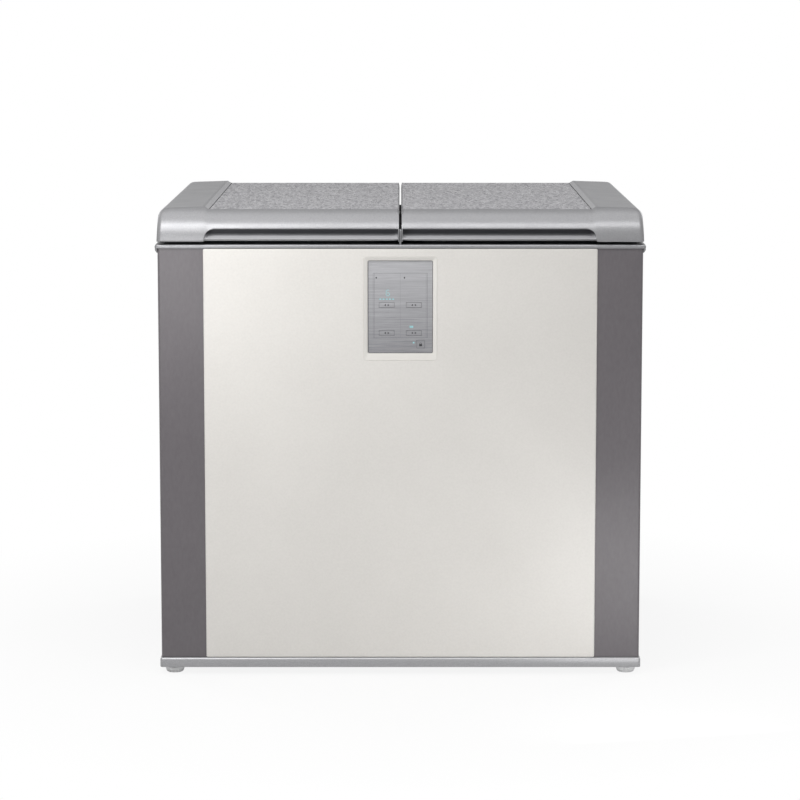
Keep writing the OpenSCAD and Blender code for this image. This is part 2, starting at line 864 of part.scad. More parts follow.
module copper_pipes() {
    comp_top = comp_z + comp_h;
    high = mach_z - 20;
    cond_end = cond_x1 + 28;
    gap = 0.3;
    color(copper) {
        pipe([[comp_x, fan_y, comp_top + 4 + gap], [comp_x, fan_y, high], [cond_end, fan_y, high],
              [cond_end, fan_y, drier_z - 20], [drier_x, fan_y, drier_z - 20],
              [drier_x, fan_y, drier_z - gap]]);
        pipe([[drier_x, fan_y, drier_z + drier_h + gap], [drier_x, fan_y, valve_z - 25],
              [valve_x, fan_y, valve_z - 25], [valve_x, fan_y, valve_z - valve_neck - gap]]);
        pipe([[comp_x - 40, fan_y + 20, high - 6], [comp_x - 40, fan_y + 70, high - 6],
              [valve_x, fan_y + 70, high - 6], [valve_x, fan_y + 30, high - 6]]);
    }
}

module power_box() {
    x1 = power_x + power_w;
    y0 = mach_y + sheet;
    y1 = y0 + power_d;
    z0 = case_z + 20;
    z1 = z0 + power_h;
    color(white) difference() {
        box(power_x, x1, y0, y1, z0, z1);
        box(power_x + box_t, x1 - box_t, y0 + box_t, y1 - box_t, z0 + box_t, z1 - box_t);
    }
}

module wall_spacers() {
    x1 = case_x - 137.5;
    x0 = x1 - spacer_w;
    y1 = overall_d / 2;
    z1 = case_top - 94.5;
    z0 = z1 - spacer_h;
    color(dark) both_sides() difference() {
        box(x0, x1, back_y, y1, z0, z1);
        box(x0 + box_t, x1 - box_t, back_y - 1, y1 - box_t, z0 + box_t, z1 - box_t);
    }
}

// ---------- Hinges ----------

module at_hinges() { for (x = hinge_xs) translate([x, 0, 0]) children(); }

module ear_profile() {
    translate([hinge_y, hinge_z]) circle(knuckle_r);
    polygon([[hinge_y - 30, deck_z], [hinge_y - 9, deck_z], [hinge_y + 6, hinge_z - 5],
             [hinge_y - 5, hinge_z + 6], [hinge_y - 22, deck_z + 2.5], [hinge_y - 30, deck_z + 2.5]]);
}

module hinge_brackets() {
    color(steel) both_sides() at_hinges() difference() {
        union() {
            box(-ear_gap - ear_t, ear_gap + ear_t, collar_back - 30, hinge_y - 9, deck_z, deck_z + 2.5);
            for (x = [-ear_gap - ear_t, ear_gap]) along_x(x, x + ear_t) ear_profile();
        }
        rod_x(-30, 30, hinge_y, hinge_z, pin_r);
    }
}

// Damped torsion cartridge between the ears
module hinge_cartridges() {
    color(dark) both_sides() at_hinges() difference() {
        rod_x(-ear_gap, ear_gap, hinge_y, hinge_z, knuckle_r - 0.5);
        rod_x(-30, 30, hinge_y, hinge_z, pin_r);
    }
}

module hinge_pins() {
    end = arm_x + ear_t;
    color(steel) both_sides() at_hinges() {
        rod_x(-end - 0.5, end + 0.5, hinge_y, hinge_z, pin_r);
        for (x = [-end - 2, end + 0.5]) rod_x(x, x + 1.5, hinge_y, hinge_z, pin_r + 1.5);
    }
}

module arm_profile() {
    translate([hinge_y, hinge_z]) circle(knuckle_r);
    z0 = lid_z + 2;
    rect(hinge_y - 62, hinge_y - 4, z0, z0 + 3);
    polygon([[hinge_y - 40, z0], [hinge_y, z0], [hinge_y + 4, hinge_z + 6.5], [hinge_y, hinge_z + 7],
             [hinge_y - 40, z0 + 3]]);
}

module lid_hinge_arms() {
    color(steel) at_hinges() difference() {
        union() {
            for (x = [-arm_x - ear_t, arm_x]) along_x(x, x + ear_t) arm_profile();
            box(-arm_x, arm_x, hinge_y - 62, hinge_y - 32, lid_z + 2, lid_z + 5);
        }
        rod_x(-40, 40, hinge_y, hinge_z, pin_r + run_gap);
    }
}

// ---------- Lids, drawn for the right-hand side ----------

// Side section of the lid, its front rounded to radius r
module lid_section(r, inset, top) {
    z0 = lid_z - 1;
    y0 = nose_y + inset;
    y1 = lid_back_y - inset;
    intersection() {
        rect(y0, y1, z0, top);
        union() {
            translate([nose_y + r, nose_cz]) circle(r - inset);
            rect(nose_y + r, y1 - 6, z0, top);
            rect(nose_y + r, y1, z0, top - 6);
            translate([y1 - 6, top - 6]) circle(6);
            rect(y0, nose_y + r, z0, nose_cz);
        }
    }
}

// Front view of the whole lid: leaning outer side, shoulder, raised cap, inlay level
module lid_front_view(inset, top_drop) {
    r = shoulder_r - inset;
    x = lid_x - inset;
    z0 = lid_z - 1;
    top = overall_h - 2 - top_drop;
    polygon(concat([[lid_gap + inset, z0], [x, z0]],
                   arc(x - 2 - r, top - r, r, 4, 82, 8),
                   [[cap_x + inset, top + 2], [ridge_x + inset, inlay_z - top_drop],
                    [lid_gap + 1 + inset, inlay_z - top_drop],
                    [lid_gap + inset, inlay_z - 12]]));
}

module lid_plan(inset) {
    rounded(lid_gap - 40, lid_x - inset, nose_y + inset, lid_back_y - inset, 10 - inset);
}

module lid_body(inset, top_drop) {
    intersection() {
        along_y(nose_y, lid_back_y) lid_front_view(inset, top_drop);
        union() {
            along_x(0, lid_x) lid_section(nose_r, inset, inlay_z - top_drop);
            along_x(ridge_x, lid_x) lid_section(cap_nose_r, inset, overall_h);
        }
        slab(lid_z, overall_h) lid_plan(inset);
    }
}

// Outline in (x, z) of the finger pocket's mouth
module grip_mouth(grow) {
    x1 = grip_end + grow;
    r = grip_corner + grow;
    z1 = grip_top + grow;
    rect(grip_start - grow, x1 - r, lid_z - 2, z1);
    rect(grip_start, x1, lid_z - 2, z1 - r);
    translate([x1 - r, z1 - r]) circle(r);
}

module lid_shell() {
    color(silver) difference() {
        lid_body(0, 0);
        translate([0, 0, -0.01]) lid_body(lid_wall, inlay_t + lid_wall);
        box(inlay_start, inlay_x, crease_y + 1, inlay_back, inlay_z - inlay_t, overall_h);
        along_y(nose_y - 1, grip_cy + 12) grip_mouth(0);
        grip_space();
    }
}

// Room taken by the pocket's wall
module grip_space() {
    box(grip_start - grip_t - 0.2, grip_end + grip_t + 0.2, nose_y + 2.6, grip_cy + grip_r + grip_t + 0.2,
        lid_z - 1, lid_z + 4);
    inner = grip_start - grip_t - 0.2;
    rear = grip_cy + grip_r + grip_t + 0.2;
    box(inner, lid_gap + lid_wall + 0.1, grip_cy + 1, rear, lid_z - 1, grip_top);
    box(inner, lid_gap + lid_wall + 0.1, grip_cy + 9.8, rear, lid_z - 1, grip_top + 6.8);
}

module lid_inlay() {
    color([0.66, 0.66, 0.68])
        box(inlay_start + 0.2, inlay_x - 0.2, crease_y + 1.2, inlay_back - 0.2, inlay_z - inlay_t,
            inlay_z);
}

// Finger pocket: a quarter-round scoop with closed ends
module lid_grip() {
    cz = grip_top + 0.6;
    r = grip_r;
    z0 = lid_z + 0.6;
    out = r + grip_t;
    x0 = grip_start;
    x1 = grip_end;
    color(silver) difference() {
        along_x(x0 - grip_t, x1 + grip_t) intersection() {
            union() {
                translate([grip_cy, cz]) circle(out);
                rect(grip_cy, grip_cy + out, cz, cz + 6);
            }
            union() {
                rect(grip_cy + 1.2, grip_cy + out, z0, lid_z + 8);
                rect(grip_cy + 10, grip_cy + out, z0, cz + 6);
            }
        }
        along_x(x0, x1) {
            translate([grip_cy, cz]) circle(r);
            rect(grip_cy - 1, grip_cy + r, cz, cz + 4);
        }
    }
}

module seal_ring(grow) {
    rounded(mullion / 2 - 4 - grow, mullion / 2 + room_w + 4 + grow, room_y - 4 - grow,
            room_back + 4 + grow, room_r + 4 + grow);
}

module plug_plan(inset) {
    g = plug_gap + inset;
    rounded(mullion / 2 + g, mullion / 2 + room_w - g, room_y + g, room_back - g, room_r - g + 4);
}

module lid_liner() {
    x0 = lid_gap + lid_wall + 0.3;
    x1 = lid_x - lid_wall - 0.3;
    y0 = grip_cy + grip_r + grip_t + 0.6;
    y1 = lid_back_y - lid_wall - 0.3;
    t = 2;
    color(white) {
        difference() {
            union() {
                slab(lid_z, lid_z + t) {
                    rounded(x0, x1, y0, y1, 8);
                    rect(x1 - 12, x1, y0, y0 + 12);
                }
                slab(plug_z, lid_z + t) plug_plan(0);
            }
            slab(plug_z + t, lid_z + t + 1) plug_plan(t);
            at_hinges() box(-arm_x - ear_t - 2, arm_x + ear_t + 2, hinge_y - 27, y1 + 1, lid_z - 1, lid_z + 4);
        }
        end_cap_floor(grip_end + grip_t + 0.6, x1, nose_y + lid_wall + 0.3, y0 - 0.3, t);
    }
}

// Small cover under the end cap, beside the finger pocket; only its front corners are round
module end_cap_floor(x0, x1, y0, y1, t) {
    slab(lid_z, lid_z + t) {
        rounded(x0, x1, y0, y1, 7.2);
        rect(x0, x1, y1 - 8, y1);
    }
}

module lid_foam() {
    x0 = lid_gap + lid_wall + 1;
    x1 = lid_x - shoulder_r - 4;
    y0 = crease_y - 7;
    top = inlay_z - inlay_t - lid_wall - 0.5;
    color([0.93, 0.88, 0.7]) {
        slab(lid_z + 2, top) rect(x0, x1, y0, hinge_y - 64);
        slab(plug_z + 2, lid_z + 3) plug_plan(2.2);
    }
}

module lid_seal() {
    color(dark) slab(deck_z + 0.1, lid_z) difference() {
        seal_ring(seal_w);
        seal_ring(0);
    }
}

// ---------- Sub-parts ----------

left() side_case();  // side_case_left
side_case();  // side_case_right
front_panel();
rear_panel();
base_frame();
base_trim();
deck_frame();
deck_collar();
left() room_liner();  // room_liner_left
room_liner();  // room_liner_right
foam_body();
evaporators();
compartment_wall();
machine_cover();
control_bezel();
control_fascia();
display_lights();
control_housing();
control_board();
bar_key(-key_x, key_row_1);  // key_upper_left
bar_key(key_x, key_row_1);  // key_upper_right
bar_key(-key_x, key_row_2);  // key_lower_left
bar_key(key_x, key_row_2);  // key_lower_right
at_lock() key_body(lock_w, lock_w);  // key_lock
compressor();
compressor_mounts();
condenser();
fan_bracket();
fan_motor();
fan_rotor();
filter_drier();
switching_valve();
copper_pipes();
power_box();
cord_gland();
wall_spacers();
case_screws();
hinge_brackets();
hinge_cartridges();
hinge_pins();
roller_brackets();
roller_axles();
left() roller();  // roller_left
roller();  // roller_right
left() foot();  // foot_left
foot();  // foot_right
left() lid_shell();  // lid_shell_left
left() lid_inlay();  // lid_inlay_left
left() lid_grip();  // lid_grip_left
left() lid_liner();  // lid_liner_left
left() lid_foam();  // lid_foam_left
left() lid_seal();  // lid_seal_left
left() lid_hinge_arms();  // lid_hinge_arms_left
lid_shell();  // lid_shell_right
lid_inlay();  // lid_inlay_right
lid_grip();  // lid_grip_right
lid_liner();  // lid_liner_right
lid_foam();  // lid_foam_right
lid_seal();  // lid_seal_right
lid_hinge_arms();  // lid_hinge_arms_right
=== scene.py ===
from functools import partial
import math

import bmesh
import bpy
import numpy as np
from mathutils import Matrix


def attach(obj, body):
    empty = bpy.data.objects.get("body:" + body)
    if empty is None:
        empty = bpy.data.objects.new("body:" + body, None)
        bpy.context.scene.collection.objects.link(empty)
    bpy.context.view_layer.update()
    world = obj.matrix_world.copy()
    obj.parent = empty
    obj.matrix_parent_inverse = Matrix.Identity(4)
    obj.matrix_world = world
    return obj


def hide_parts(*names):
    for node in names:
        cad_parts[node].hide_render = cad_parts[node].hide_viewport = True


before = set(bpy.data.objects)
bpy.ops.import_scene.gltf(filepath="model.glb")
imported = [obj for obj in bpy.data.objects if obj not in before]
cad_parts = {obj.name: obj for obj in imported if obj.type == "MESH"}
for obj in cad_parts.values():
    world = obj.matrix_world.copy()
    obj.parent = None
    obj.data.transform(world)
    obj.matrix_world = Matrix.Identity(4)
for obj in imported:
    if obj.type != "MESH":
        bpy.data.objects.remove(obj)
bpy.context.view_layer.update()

# Lengths are in millimetres. +Z is up, the front faces -Y, +X is to the viewer's right.
# Front faces, from the lids' noses back to the side cases, then the rear of a lid and of the cabinet
NOSE_Y, TRIM_Y, FRAME_Y, PANEL_Y, CASE_Y = -393.0, -391.5, -389.3, -389.0, -386.0
LID_REAR, BACK_Y = 383.0, 345.0
# Foot of the front panel, tops of panel, case and deck, then a lid's lower edge, inlay and end cap
CASE_Z, PANEL_TOP, CASE_TOP, DECK_Z = 32.5, 818.0, 818.4, 826.0
LID_Z, INLAY_Z, TOP_Z = 831.4, 889.5, 894.0
# Half width of the front panel, then the opening in it for the recess: sides, foot, top and radius
PANEL_X, HOLE = 371.5, (-69.5, 69.5, 605.9, 803.1, 5.1)
# Right-hand lid from the middle outwards: inlay's side, foot and top of the end cap's bevel, and the
# columns where the rounded outer corner starts and ends
INLAY_X, RIDGE_X, CAP_X, CORNER_X, SHOULDER_X = 361.0, 362.5, 370.0, 433.23, 443.23
# Height where the end cap's top meets the shoulder
SHOULDER_Z = 891.84
# Mouth of the finger pocket: inner and outer end, roof, and radius of its outer corner
MOUTH_X0, MOUTH_X1, MOUTH_Z, MOUTH_R = 4.0, 368.6, 855.4, 18.0
# Circle of the nose: height of its middle, radius in front of the inlay and on the end cap
NOSE_Z, NOSE_R, CAP_NOSE_R = 831.54, 60.0, 64.05
# Radii of a lid's inner and outer upright corners and of its rear upper edge
INNER_R, OUTER_R, REAR_R = 1.5, 10.0, 6.0


# ---------- Camera ----------

# 5.7 m away and 7.4 degrees down, fitted to the edges in the photograph. The shift frames the object.
camera = bpy.data.objects.new("camera", bpy.data.cameras.new("camera"))
bpy.context.scene.collection.objects.link(camera)
bpy.context.scene.camera = camera
camera.location = (0.0, -5.652, 1.304)
camera.rotation_euler = (math.radians(90 - 7.38), 0, 0)
camera.data.sensor_width = 36
camera.data.lens = 126.4
camera.data.shift_x = -0.0004
camera.data.shift_y = -0.06
camera.data.clip_end = 100


# ---------- Surfaces ----------

def surface(name, sheets, finish, body, stands_for, wall=0.0, crease=32.0, hollow=False):
    """Welds sheets, each an (m, n, 3) grid of points in mm, into one mesh. A quad joins each point to
    its neighbours in both directions; where points fall together the quad becomes a triangle. A hollow
    piece is seen from inside, so its faces turn inwards."""
    points, faces, start = [], [], 0
    for sheet in sheets:
        m, n = sheet.shape[:2]
        index = np.arange(m * n).reshape(m, n) + start
        quads = np.stack([index[:-1, :-1], index[:-1, 1:], index[1:, 1:], index[1:, :-1]], -1)
        points.append(sheet.reshape(-1, 3))
        faces.append(quads.reshape(-1, 4))
        start += m * n
    mesh = bpy.data.meshes.new(name)
    mesh.from_pydata(np.concatenate(points) * 0.001, [], np.concatenate(faces))
    form = bmesh.new()
    form.from_mesh(mesh)
    bmesh.ops.remove_doubles(form, verts=form.verts, dist=2e-6)
    bmesh.ops.dissolve_degenerate(form, edges=form.edges, dist=1e-6)
    bmesh.ops.recalc_face_normals(form, faces=form.faces)
    if hollow:
        bmesh.ops.reverse_faces(form, faces=form.faces)
    form.to_mesh(mesh)
    form.free()
    mesh.shade_smooth()
    mesh.set_sharp_from_angle(angle=math.radians(crease))
    mesh.materials.append(finish)
    piece = bpy.data.objects.new(name, mesh)
    bpy.context.scene.collection.objects.link(piece)
    if wall:
        thick = piece.modifiers.new("wall", "SOLIDIFY")
        thick.thickness = wall * 0.001
        thick.offset = -1
        thick.use_even_offset = False
    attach(piece, body)
    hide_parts(*stands_for)


def mirrored(sheets):
    """The same sheets on the left half: x changes its sign."""
    return [sheet * np.array([-1.0, 1.0, 1.0]) for sheet in sheets]


def grid(x, y, z):
    """Points of one sheet from three arrays that are spread to a common shape."""
    return np.stack(np.broadcast_arrays(x, y, z), -1).astype(float)


def rounded_ring(x0, x1, y0, y1, r, steps, side):
    """Closed ring of a rounded rectangle, as (n, 2): each corner is a quarter circle, each side is cut
    into equal lengths."""
    t = np.linspace(0, np.pi / 2, steps + 1)
    middles = ((x1 - r, y1 - r), (x0 + r, y1 - r), (x0 + r, y0 + r), (x1 - r, y0 + r))
    corners = []
    for turn, (cx, cy) in enumerate(middles):
        a = t + turn * np.pi / 2
        corners.append(np.stack([cx + r * np.cos(a), cy + r * np.sin(a)], -1))
    ring = []
    w = np.linspace(0, 1, side + 1)[1:-1, None]
    for corner, after in zip(corners, corners[1:] + corners[:1]):
        ring += [corner, corner[-1] * (1 - w) + after[0] * w]
    ring = np.concatenate(ring)
    return np.concatenate([ring, ring[:1]])


def loft(rings, steps, side):
    """Rings of rounded rectangles seen from above, one for each (x0, x1, y0, y1, r, z)."""
    rows = []
    for x0, x1, y0, y1, r, z in rings:
        ring = rounded_ring(x0, x1, y0, y1, max(r, 0.01), steps, side)
        rows.append(grid(ring[:, 0], ring[:, 1], z))
    return np.stack(rows)


# ---------- Lids ----------

# Angles of the inner and the outer upright corner, and of the mouth's rounded corner, whose columns
# stand closer where it turns upright
SMALL_TURN = np.linspace(0, np.pi / 2, 5)
TURN = np.linspace(0, np.pi / 2, 9)[1:]
MOUTH_TURN = np.radians(np.concatenate([np.linspace(0, 62.05, 8)[1:], np.linspace(62.05, 90, 5)[1:]]))

# Columns of the lid's skin, each named by x where it meets the crest. The front also has the height
# where its sheet starts, which is the mouth's edge. FLAT of its columns lie along the mouth's level roof,
# SIDE_CUTS and INNER_CUTS rows of quads along the outer and the inner side.
FLAT, SIDE_CUTS, INNER_CUTS = 30, 18, 8
inner_columns = np.full(SMALL_TURN.size, 3.2)
front_x = np.concatenate([np.linspace(MOUTH_X0, MOUTH_X1 - MOUTH_R, FLAT),
                          MOUTH_X1 - MOUTH_R + MOUTH_R * np.sin(MOUTH_TURN), [CAP_X]])
front_edge = np.concatenate([np.full(FLAT, MOUTH_Z),
                             MOUTH_Z - MOUTH_R + MOUTH_R * np.cos(MOUTH_TURN), [LID_Z]])
cap_columns = np.linspace(CAP_X, CORNER_X, 9)[1:]
rear_columns = np.concatenate([cap_columns[-2::-1], [CAP_X], np.linspace(RIDGE_X, MOUTH_X0, 16)])


def nose_y(x, z):
    """Front of a lid: a circle in (y, z) that touches the plane of the nose. Its radius grows across
    the end cap's bevel."""
    r = NOSE_R + (CAP_NOSE_R - NOSE_R) * np.clip((x - RIDGE_X) / (CAP_X - RIDGE_X), 0, 1)
    return NOSE_Y + r - np.sqrt(np.maximum(r**2 - (z - NOSE_Z) ** 2, 0))


def crest_z(x):
    """Height of a lid's top: level at the inlay, up the bevel, then falling to the shoulder."""
    return np.interp(x, [0, RIDGE_X, CAP_X, SHOULDER_X, 460], [INLAY_Z, INLAY_Z, TOP_Z, SHOULDER_Z, 891.35])


def side_x(z):
    """Outer side of a lid: it leans in 2 mm over 45.7 mm of height, and there, at 877.1 mm, a circle of
    16 mm round (x 441, z 876) takes over and makes the shoulder."""
    leaning = 459 - 2 * (z - LID_Z) / 45.7
    return np.where(z < 877.1, leaning, 441 + np.sqrt(np.maximum(16**2 - (z - 876) ** 2, 0)))


def inner_x(z):
    """Inner side of a lid: upright, then leaning away 1 mm over the top 12 mm."""
    return 2.2 + np.clip((z - 877.5) / 12, 0, 1)


def rear_y(z, crest):
    """Rear of a lid: upright, then a quarter circle up to the crest."""
    rise = np.clip(z - (crest - REAR_R), 0, REAR_R)
    return LID_REAR - REAR_R + np.sqrt(np.maximum(REAR_R**2 - rise**2, 0))


def cap_x(top, z):
    """Place at height z of the column that ends at x = top. On the end cap a column keeps its share of
    the way from the bevel to the corner while the side leans in."""
    share = (top - CAP_X) / (CORNER_X - CAP_X)
    return np.where(top > CAP_X, CAP_X + (side_x(z) - OUTER_R - CAP_X) * share, top)


def low_z(height, top, edge=None):
    """Heights of a row that lies below the mouth's roof: level, but above the mouth's rounded corner
    the columns start at the mouth's edge and gather towards its roof."""
    level = np.full(top.shape, float(height))
    if edge is None:
        return level
    share = np.clip((height - (MOUTH_Z - MOUTH_R)) / MOUTH_R, 0, 1)
    return np.where(edge > LID_Z, edge + (MOUTH_Z - edge) * share, level)


def high_z(share, top, edge=None):
    """Heights of a row above the roof: a share of the way from the roof to the crest."""
    return MOUTH_Z + (crest_z(top) - MOUTH_Z) * share


def lid_row(heights):
    """One row round a lid: inner front corner, front, end cap, outer front corner, side, outer rear
    corner, rear, inner rear corner and inner side."""
    z = heights(inner_columns)
    x = inner_x(z)
    parts = [grid(x + INNER_R - INNER_R * np.cos(SMALL_TURN),
                  nose_y(x, z) + INNER_R - INNER_R * np.sin(SMALL_TURN), z)]
    z = heights(front_x, front_edge)
    parts.append(grid(front_x, nose_y(front_x, z), z))
    z = heights(cap_columns)
    x = cap_x(cap_columns, z)
    parts.append(grid(x, nose_y(x, z), z))
    z = heights(CORNER_X + OUTER_R * np.sin(TURN))
    x = side_x(z)
    parts.append(grid(x - OUTER_R + OUTER_R * np.sin(TURN),
                      nose_y(x, z) + OUTER_R - OUTER_R * np.cos(TURN), z))
    z = heights(np.full(1, SHOULDER_X))
    x = side_x(z)
    y0, y1 = nose_y(x, z) + OUTER_R, rear_y(z, SHOULDER_Z) - OUTER_R
    parts.append(grid(x, y0 + (y1 - y0) * np.linspace(0, 1, SIDE_CUTS + 1)[1:], z))
    top = CORNER_X + OUTER_R * np.cos(TURN)
    z = heights(top)
    parts.append(grid(side_x(z) - OUTER_R + OUTER_R * np.cos(TURN),
                      rear_y(z, crest_z(top)) - OUTER_R + OUTER_R * np.sin(TURN), z))
    z = heights(rear_columns)
    parts.append(grid(cap_x(rear_columns, z), rear_y(z, crest_z(rear_columns)), z))
    z = heights(inner_columns)
    x, y = inner_x(z), rear_y(z, INLAY_Z)
    parts.append(grid(x + INNER_R - INNER_R * np.sin(SMALL_TURN),
                      y - INNER_R + INNER_R * np.cos(SMALL_TURN), z))
    y0, y1 = y[-1] - INNER_R, nose_y(x[0], z[0]) + INNER_R
    parts.append(grid(x[0], y0 + (y1 - y0) * np.linspace(0, 1, INNER_CUTS + 1)[1:], z[0]))
    return np.concatenate(parts)


def lid_skin():
    """Skin of a lid, and the bevel of its end cap apart from it. Rows go round the plan and climb from
    the seal to the top: level ones up to the pocket's roof, then equal angles of the nose's circle.
    Below the mouth the front has no sheet. The end cap's top is a sloping plane, and a rim lies round
    the inlay."""
    low = [LID_Z, 834.4, MOUTH_Z - MOUTH_R]
    middle = np.linspace(low[-1], MOUTH_Z, 7)[1:]
    roof, crest = np.arcsin((np.array([MOUTH_Z, TOP_Z]) - NOSE_Z) / CAP_NOSE_R)
    climb = np.sin(np.linspace(roof, crest, 30))
    climb = (climb - climb[0]) / (climb[-1] - climb[0])
    body = np.stack([lid_row(partial(low_z, height)) for height in (*low, *middle)] +
                    [lid_row(partial(high_z, share)) for share in climb[1:]])
    inner = inner_columns.size
    cap = inner + front_x.size - 1
    sheets = [body[:, :inner + 1],
              body[len(low) + len(middle) - 1:, inner:inner + FLAT],
              body[len(low) - 1:, inner + FLAT - 1:cap],
              body[:, cap - 1:]]
    # end cap's top: a plane cut into a grid, a strip beside the shoulder and a fan at each corner
    top = body[-1]
    stops = cap + np.cumsum([0, cap_columns.size, TURN.size, SIDE_CUTS, TURN.size, cap_columns.size])
    front_row, front_arc, side, rear_arc, rear_row = [top[i:j + 1] for i, j in zip(stops, stops[1:])]
    plane = grid(front_row[:, 0], side[:, 1:2], crest_z(front_row[:, 0]))
    sheets.append(np.concatenate([front_row[None], plane, rear_row[None, ::-1]]))
    sheets.append(np.stack([plane[:, -1], side], 1))
    for arc, hub in ((front_arc, plane[0, -1]), (rear_arc, plane[-1, -1])):
        sheets.append(np.stack([np.broadcast_to(hub, arc.shape), arc]))
    # bevel of the end cap, then the rim round the inlay, 0.3 mm or more clear of it, and its 3 mm recess
    ridge_front = inner + int(np.argmin(np.abs(front_x - RIDGE_X)))
    ridge_rear = stops[-1] + 1
    cap_edge = np.concatenate([front_row[:1], plane[:, 0], rear_row[-1:]])
    ridge = cap_edge.copy()
    ridge[:, 0] = RIDGE_X
    ridge[:, 2] = INLAY_Z
    ridge[0] = top[ridge_front]
    ridge[-1] = top[ridge_rear]
    bevel = np.stack([cap_edge, ridge])
    fan = top[ridge_front:cap + 1]
    sheets.append(np.stack([fan, np.broadcast_to(fan[0], fan.shape)]))
    loop = np.concatenate([top[ridge_rear:], top[:ridge_front + 1], ridge[1:]])
    rim = grid(np.clip(loop[:, 0], 3.9, RIDGE_X - 0.2), np.clip(loop[:, 1], -347.5, 375.0), INLAY_Z)
    deep = rim - [0, 0, 3]
    sheets.append(np.stack([loop, rim, deep]))
    return sheets, [bevel]


def pocket():
    """Finger pocket: for each x the section is a level roof, a quarter circle of 18.5 mm round
    (y -391, z 856), a rolled front lip of 0.9 mm and a tail back under it. Towards both ends the
    circle's depth shrinks along a quarter ellipse of 10 mm, and at the outer end the roof follows the
    mouth's rounded corner. Above its open front the circle keeps 1.2 mm behind the lid's skin."""
    mid_y, mid_z, r, lip_r, fade = -391.0, 856.0, 18.5, 0.9, 10.0
    behind, open_z, tail_y = 1.2, 838.5, -368.7
    bend = MOUTH_X1 - MOUTH_R
    near = MOUTH_X0 + fade * (1 - np.cos(np.linspace(0, np.pi / 2, 9)))
    far = bend + MOUTH_R * np.sin(np.linspace(0, np.pi / 2, 17)[1:])
    x = np.concatenate([near, np.linspace(near[-1], bend, 24)[1:], far])
    rounded = MOUTH_Z - MOUTH_R + np.sqrt(np.maximum(MOUTH_R**2 - (x - bend) ** 2, 0))
    roof = np.where(x < bend, MOUTH_Z, rounded)
    end = np.clip(np.minimum(x - MOUTH_X0, MOUTH_X1 - x) / fade, 0, 1)
    depth = np.sqrt(1 - (1 - end) ** 2)
    start = np.arcsin(np.clip((roof - mid_z) / r, -1, 0))
    t = np.linspace(0, 1, 22)[:, None]
    a = start * (1 - t) - np.pi / 2 * t
    z_arc = mid_z + r * np.sin(a)
    skin_y = np.where(z_arc > open_z, nose_y(x, z_arc) + behind, mid_y)
    y_arc = np.maximum(mid_y + r * np.cos(a) * depth, skin_y)
    w = np.linspace(0, 1, 5)[:-1, None]
    y_roof = (nose_y(x, roof) + behind) * (1 - w) + y_arc[0] * w
    lip = np.linspace(0, np.pi, 7)[1:, None]
    y_lip = mid_y - lip_r * np.sin(lip) + 0 * x
    z_lip = mid_z - r - lip_r + lip_r * np.cos(lip) + 0 * x
    y = np.concatenate([y_roof, y_arc, y_lip, np.full((1, x.size), tail_y)])
    z = np.concatenate([roof + 0 * w, z_arc, z_lip, z_lip[-1:]])
    return [grid(x, y, z)]


def inlay():
    """Flat plate with rolled edges: rings of a rounded rectangle rise to the rim and then close in on
    the middle."""
    x0, x1, y0, y1, z = 4.2, INLAY_X, -347.2, 374.6, INLAY_Z
    rolled = ((0, 3), (0, 0.5), (0.2, 0.12), (0.6, 0))
    rings = [(x0 + d, x1 - d, y0 + d, y1 - d, 2 - d, z - drop) for d, drop in rolled]
    half_x, half_y = (x1 - x0) / 2, (y1 - y0) / 2
    for k in np.linspace(0.02, 0.9, 6):
        dx, dy = 0.6 + k * (half_x - 0.6), 0.6 + k * (half_y - 0.6)
        rings.append((x0 + dx, x1 - dx, y0 + dy, y1 - dy, 0.02, z))
    plate = loft(rings, 4, 10)
    middle = np.broadcast_to([x0 + half_x, y0 + half_y, z], plate[-1:].shape)
    return [np.concatenate([plate, middle])]


# ---------- Cabinet ----------

def deck_trim():
    """Frame round the top of the cabinet: a rounded rectangle carried up the band's section, bevelled
    at the top, then across the deck and down inside. The rib between the lids is a thin upright whose
    front end stands taller. A skirt tapers down over each side case and narrows to its front tip."""
    x = 462.5
    section = [(17.0, CASE_TOP), (1.2, CASE_TOP), (0.35, CASE_TOP + 0.35), (0, CASE_TOP + 1.2),
               (0, DECK_Z - 3.0), (0.15, DECK_Z - 2.7), (1.45, DECK_Z - 0.5), (2.0, DECK_Z - 0.1),
               (3.4, DECK_Z), (16.1, DECK_Z), (16.1, DECK_Z - 3)]
    rings = [(-x + d, x - d, FRAME_Y + d, BACK_Y - d, max(6 - d * 0.5, 1.5), z) for d, z in section]
    sheets = [loft(rings, 8, 12)]
    # rib: its edge in (y, z) from the front end's foot to the rear one's, then its section across
    y = np.array([-386, -386, -385.6, -384.4, -382, -377, -372, -346, -100, 341, 341])
    top = np.array([825.5, 851, 853, 854.4, 855, 855, 853.4, 845, 845, 845, 825.5])
    foot = np.full(y.shape, 825.5)
    edge = np.maximum(top - 0.5, foot)
    across = np.array([-1.6, -1.6, -1.2, 1.2, 1.6, 1.6])[:, None]
    sheets.append(grid(across, y, np.stack([foot, edge, top, top, edge, foot])))
    # skirt: its section in (x, z), and how far each cut keeps it towards the front tip
    skirt = np.array([(457.7, CASE_TOP), (x, CASE_TOP + 0.5), (x, 815.2), (461.8, 813.2), (459.9, 810.4),
                      (459.2, 809.6), (457.7, 809.4)])
    y = np.array([-384.0, -383.2, -380.8, -378.0, BACK_Y])[:, None]
    pinch = np.array([0.05, 0.55, 0.9, 1, 1])[:, None]
    skirt_x = skirt[0, 0] + (skirt[:, 0] - skirt[0, 0]) * pinch
    skirt_z = CASE_TOP + (skirt[:, 1] - CASE_TOP) * (0.4 + 0.6 * pinch)
    return sheets + [grid(side * skirt_x, y, skirt_z) for side in (-1, 1)]


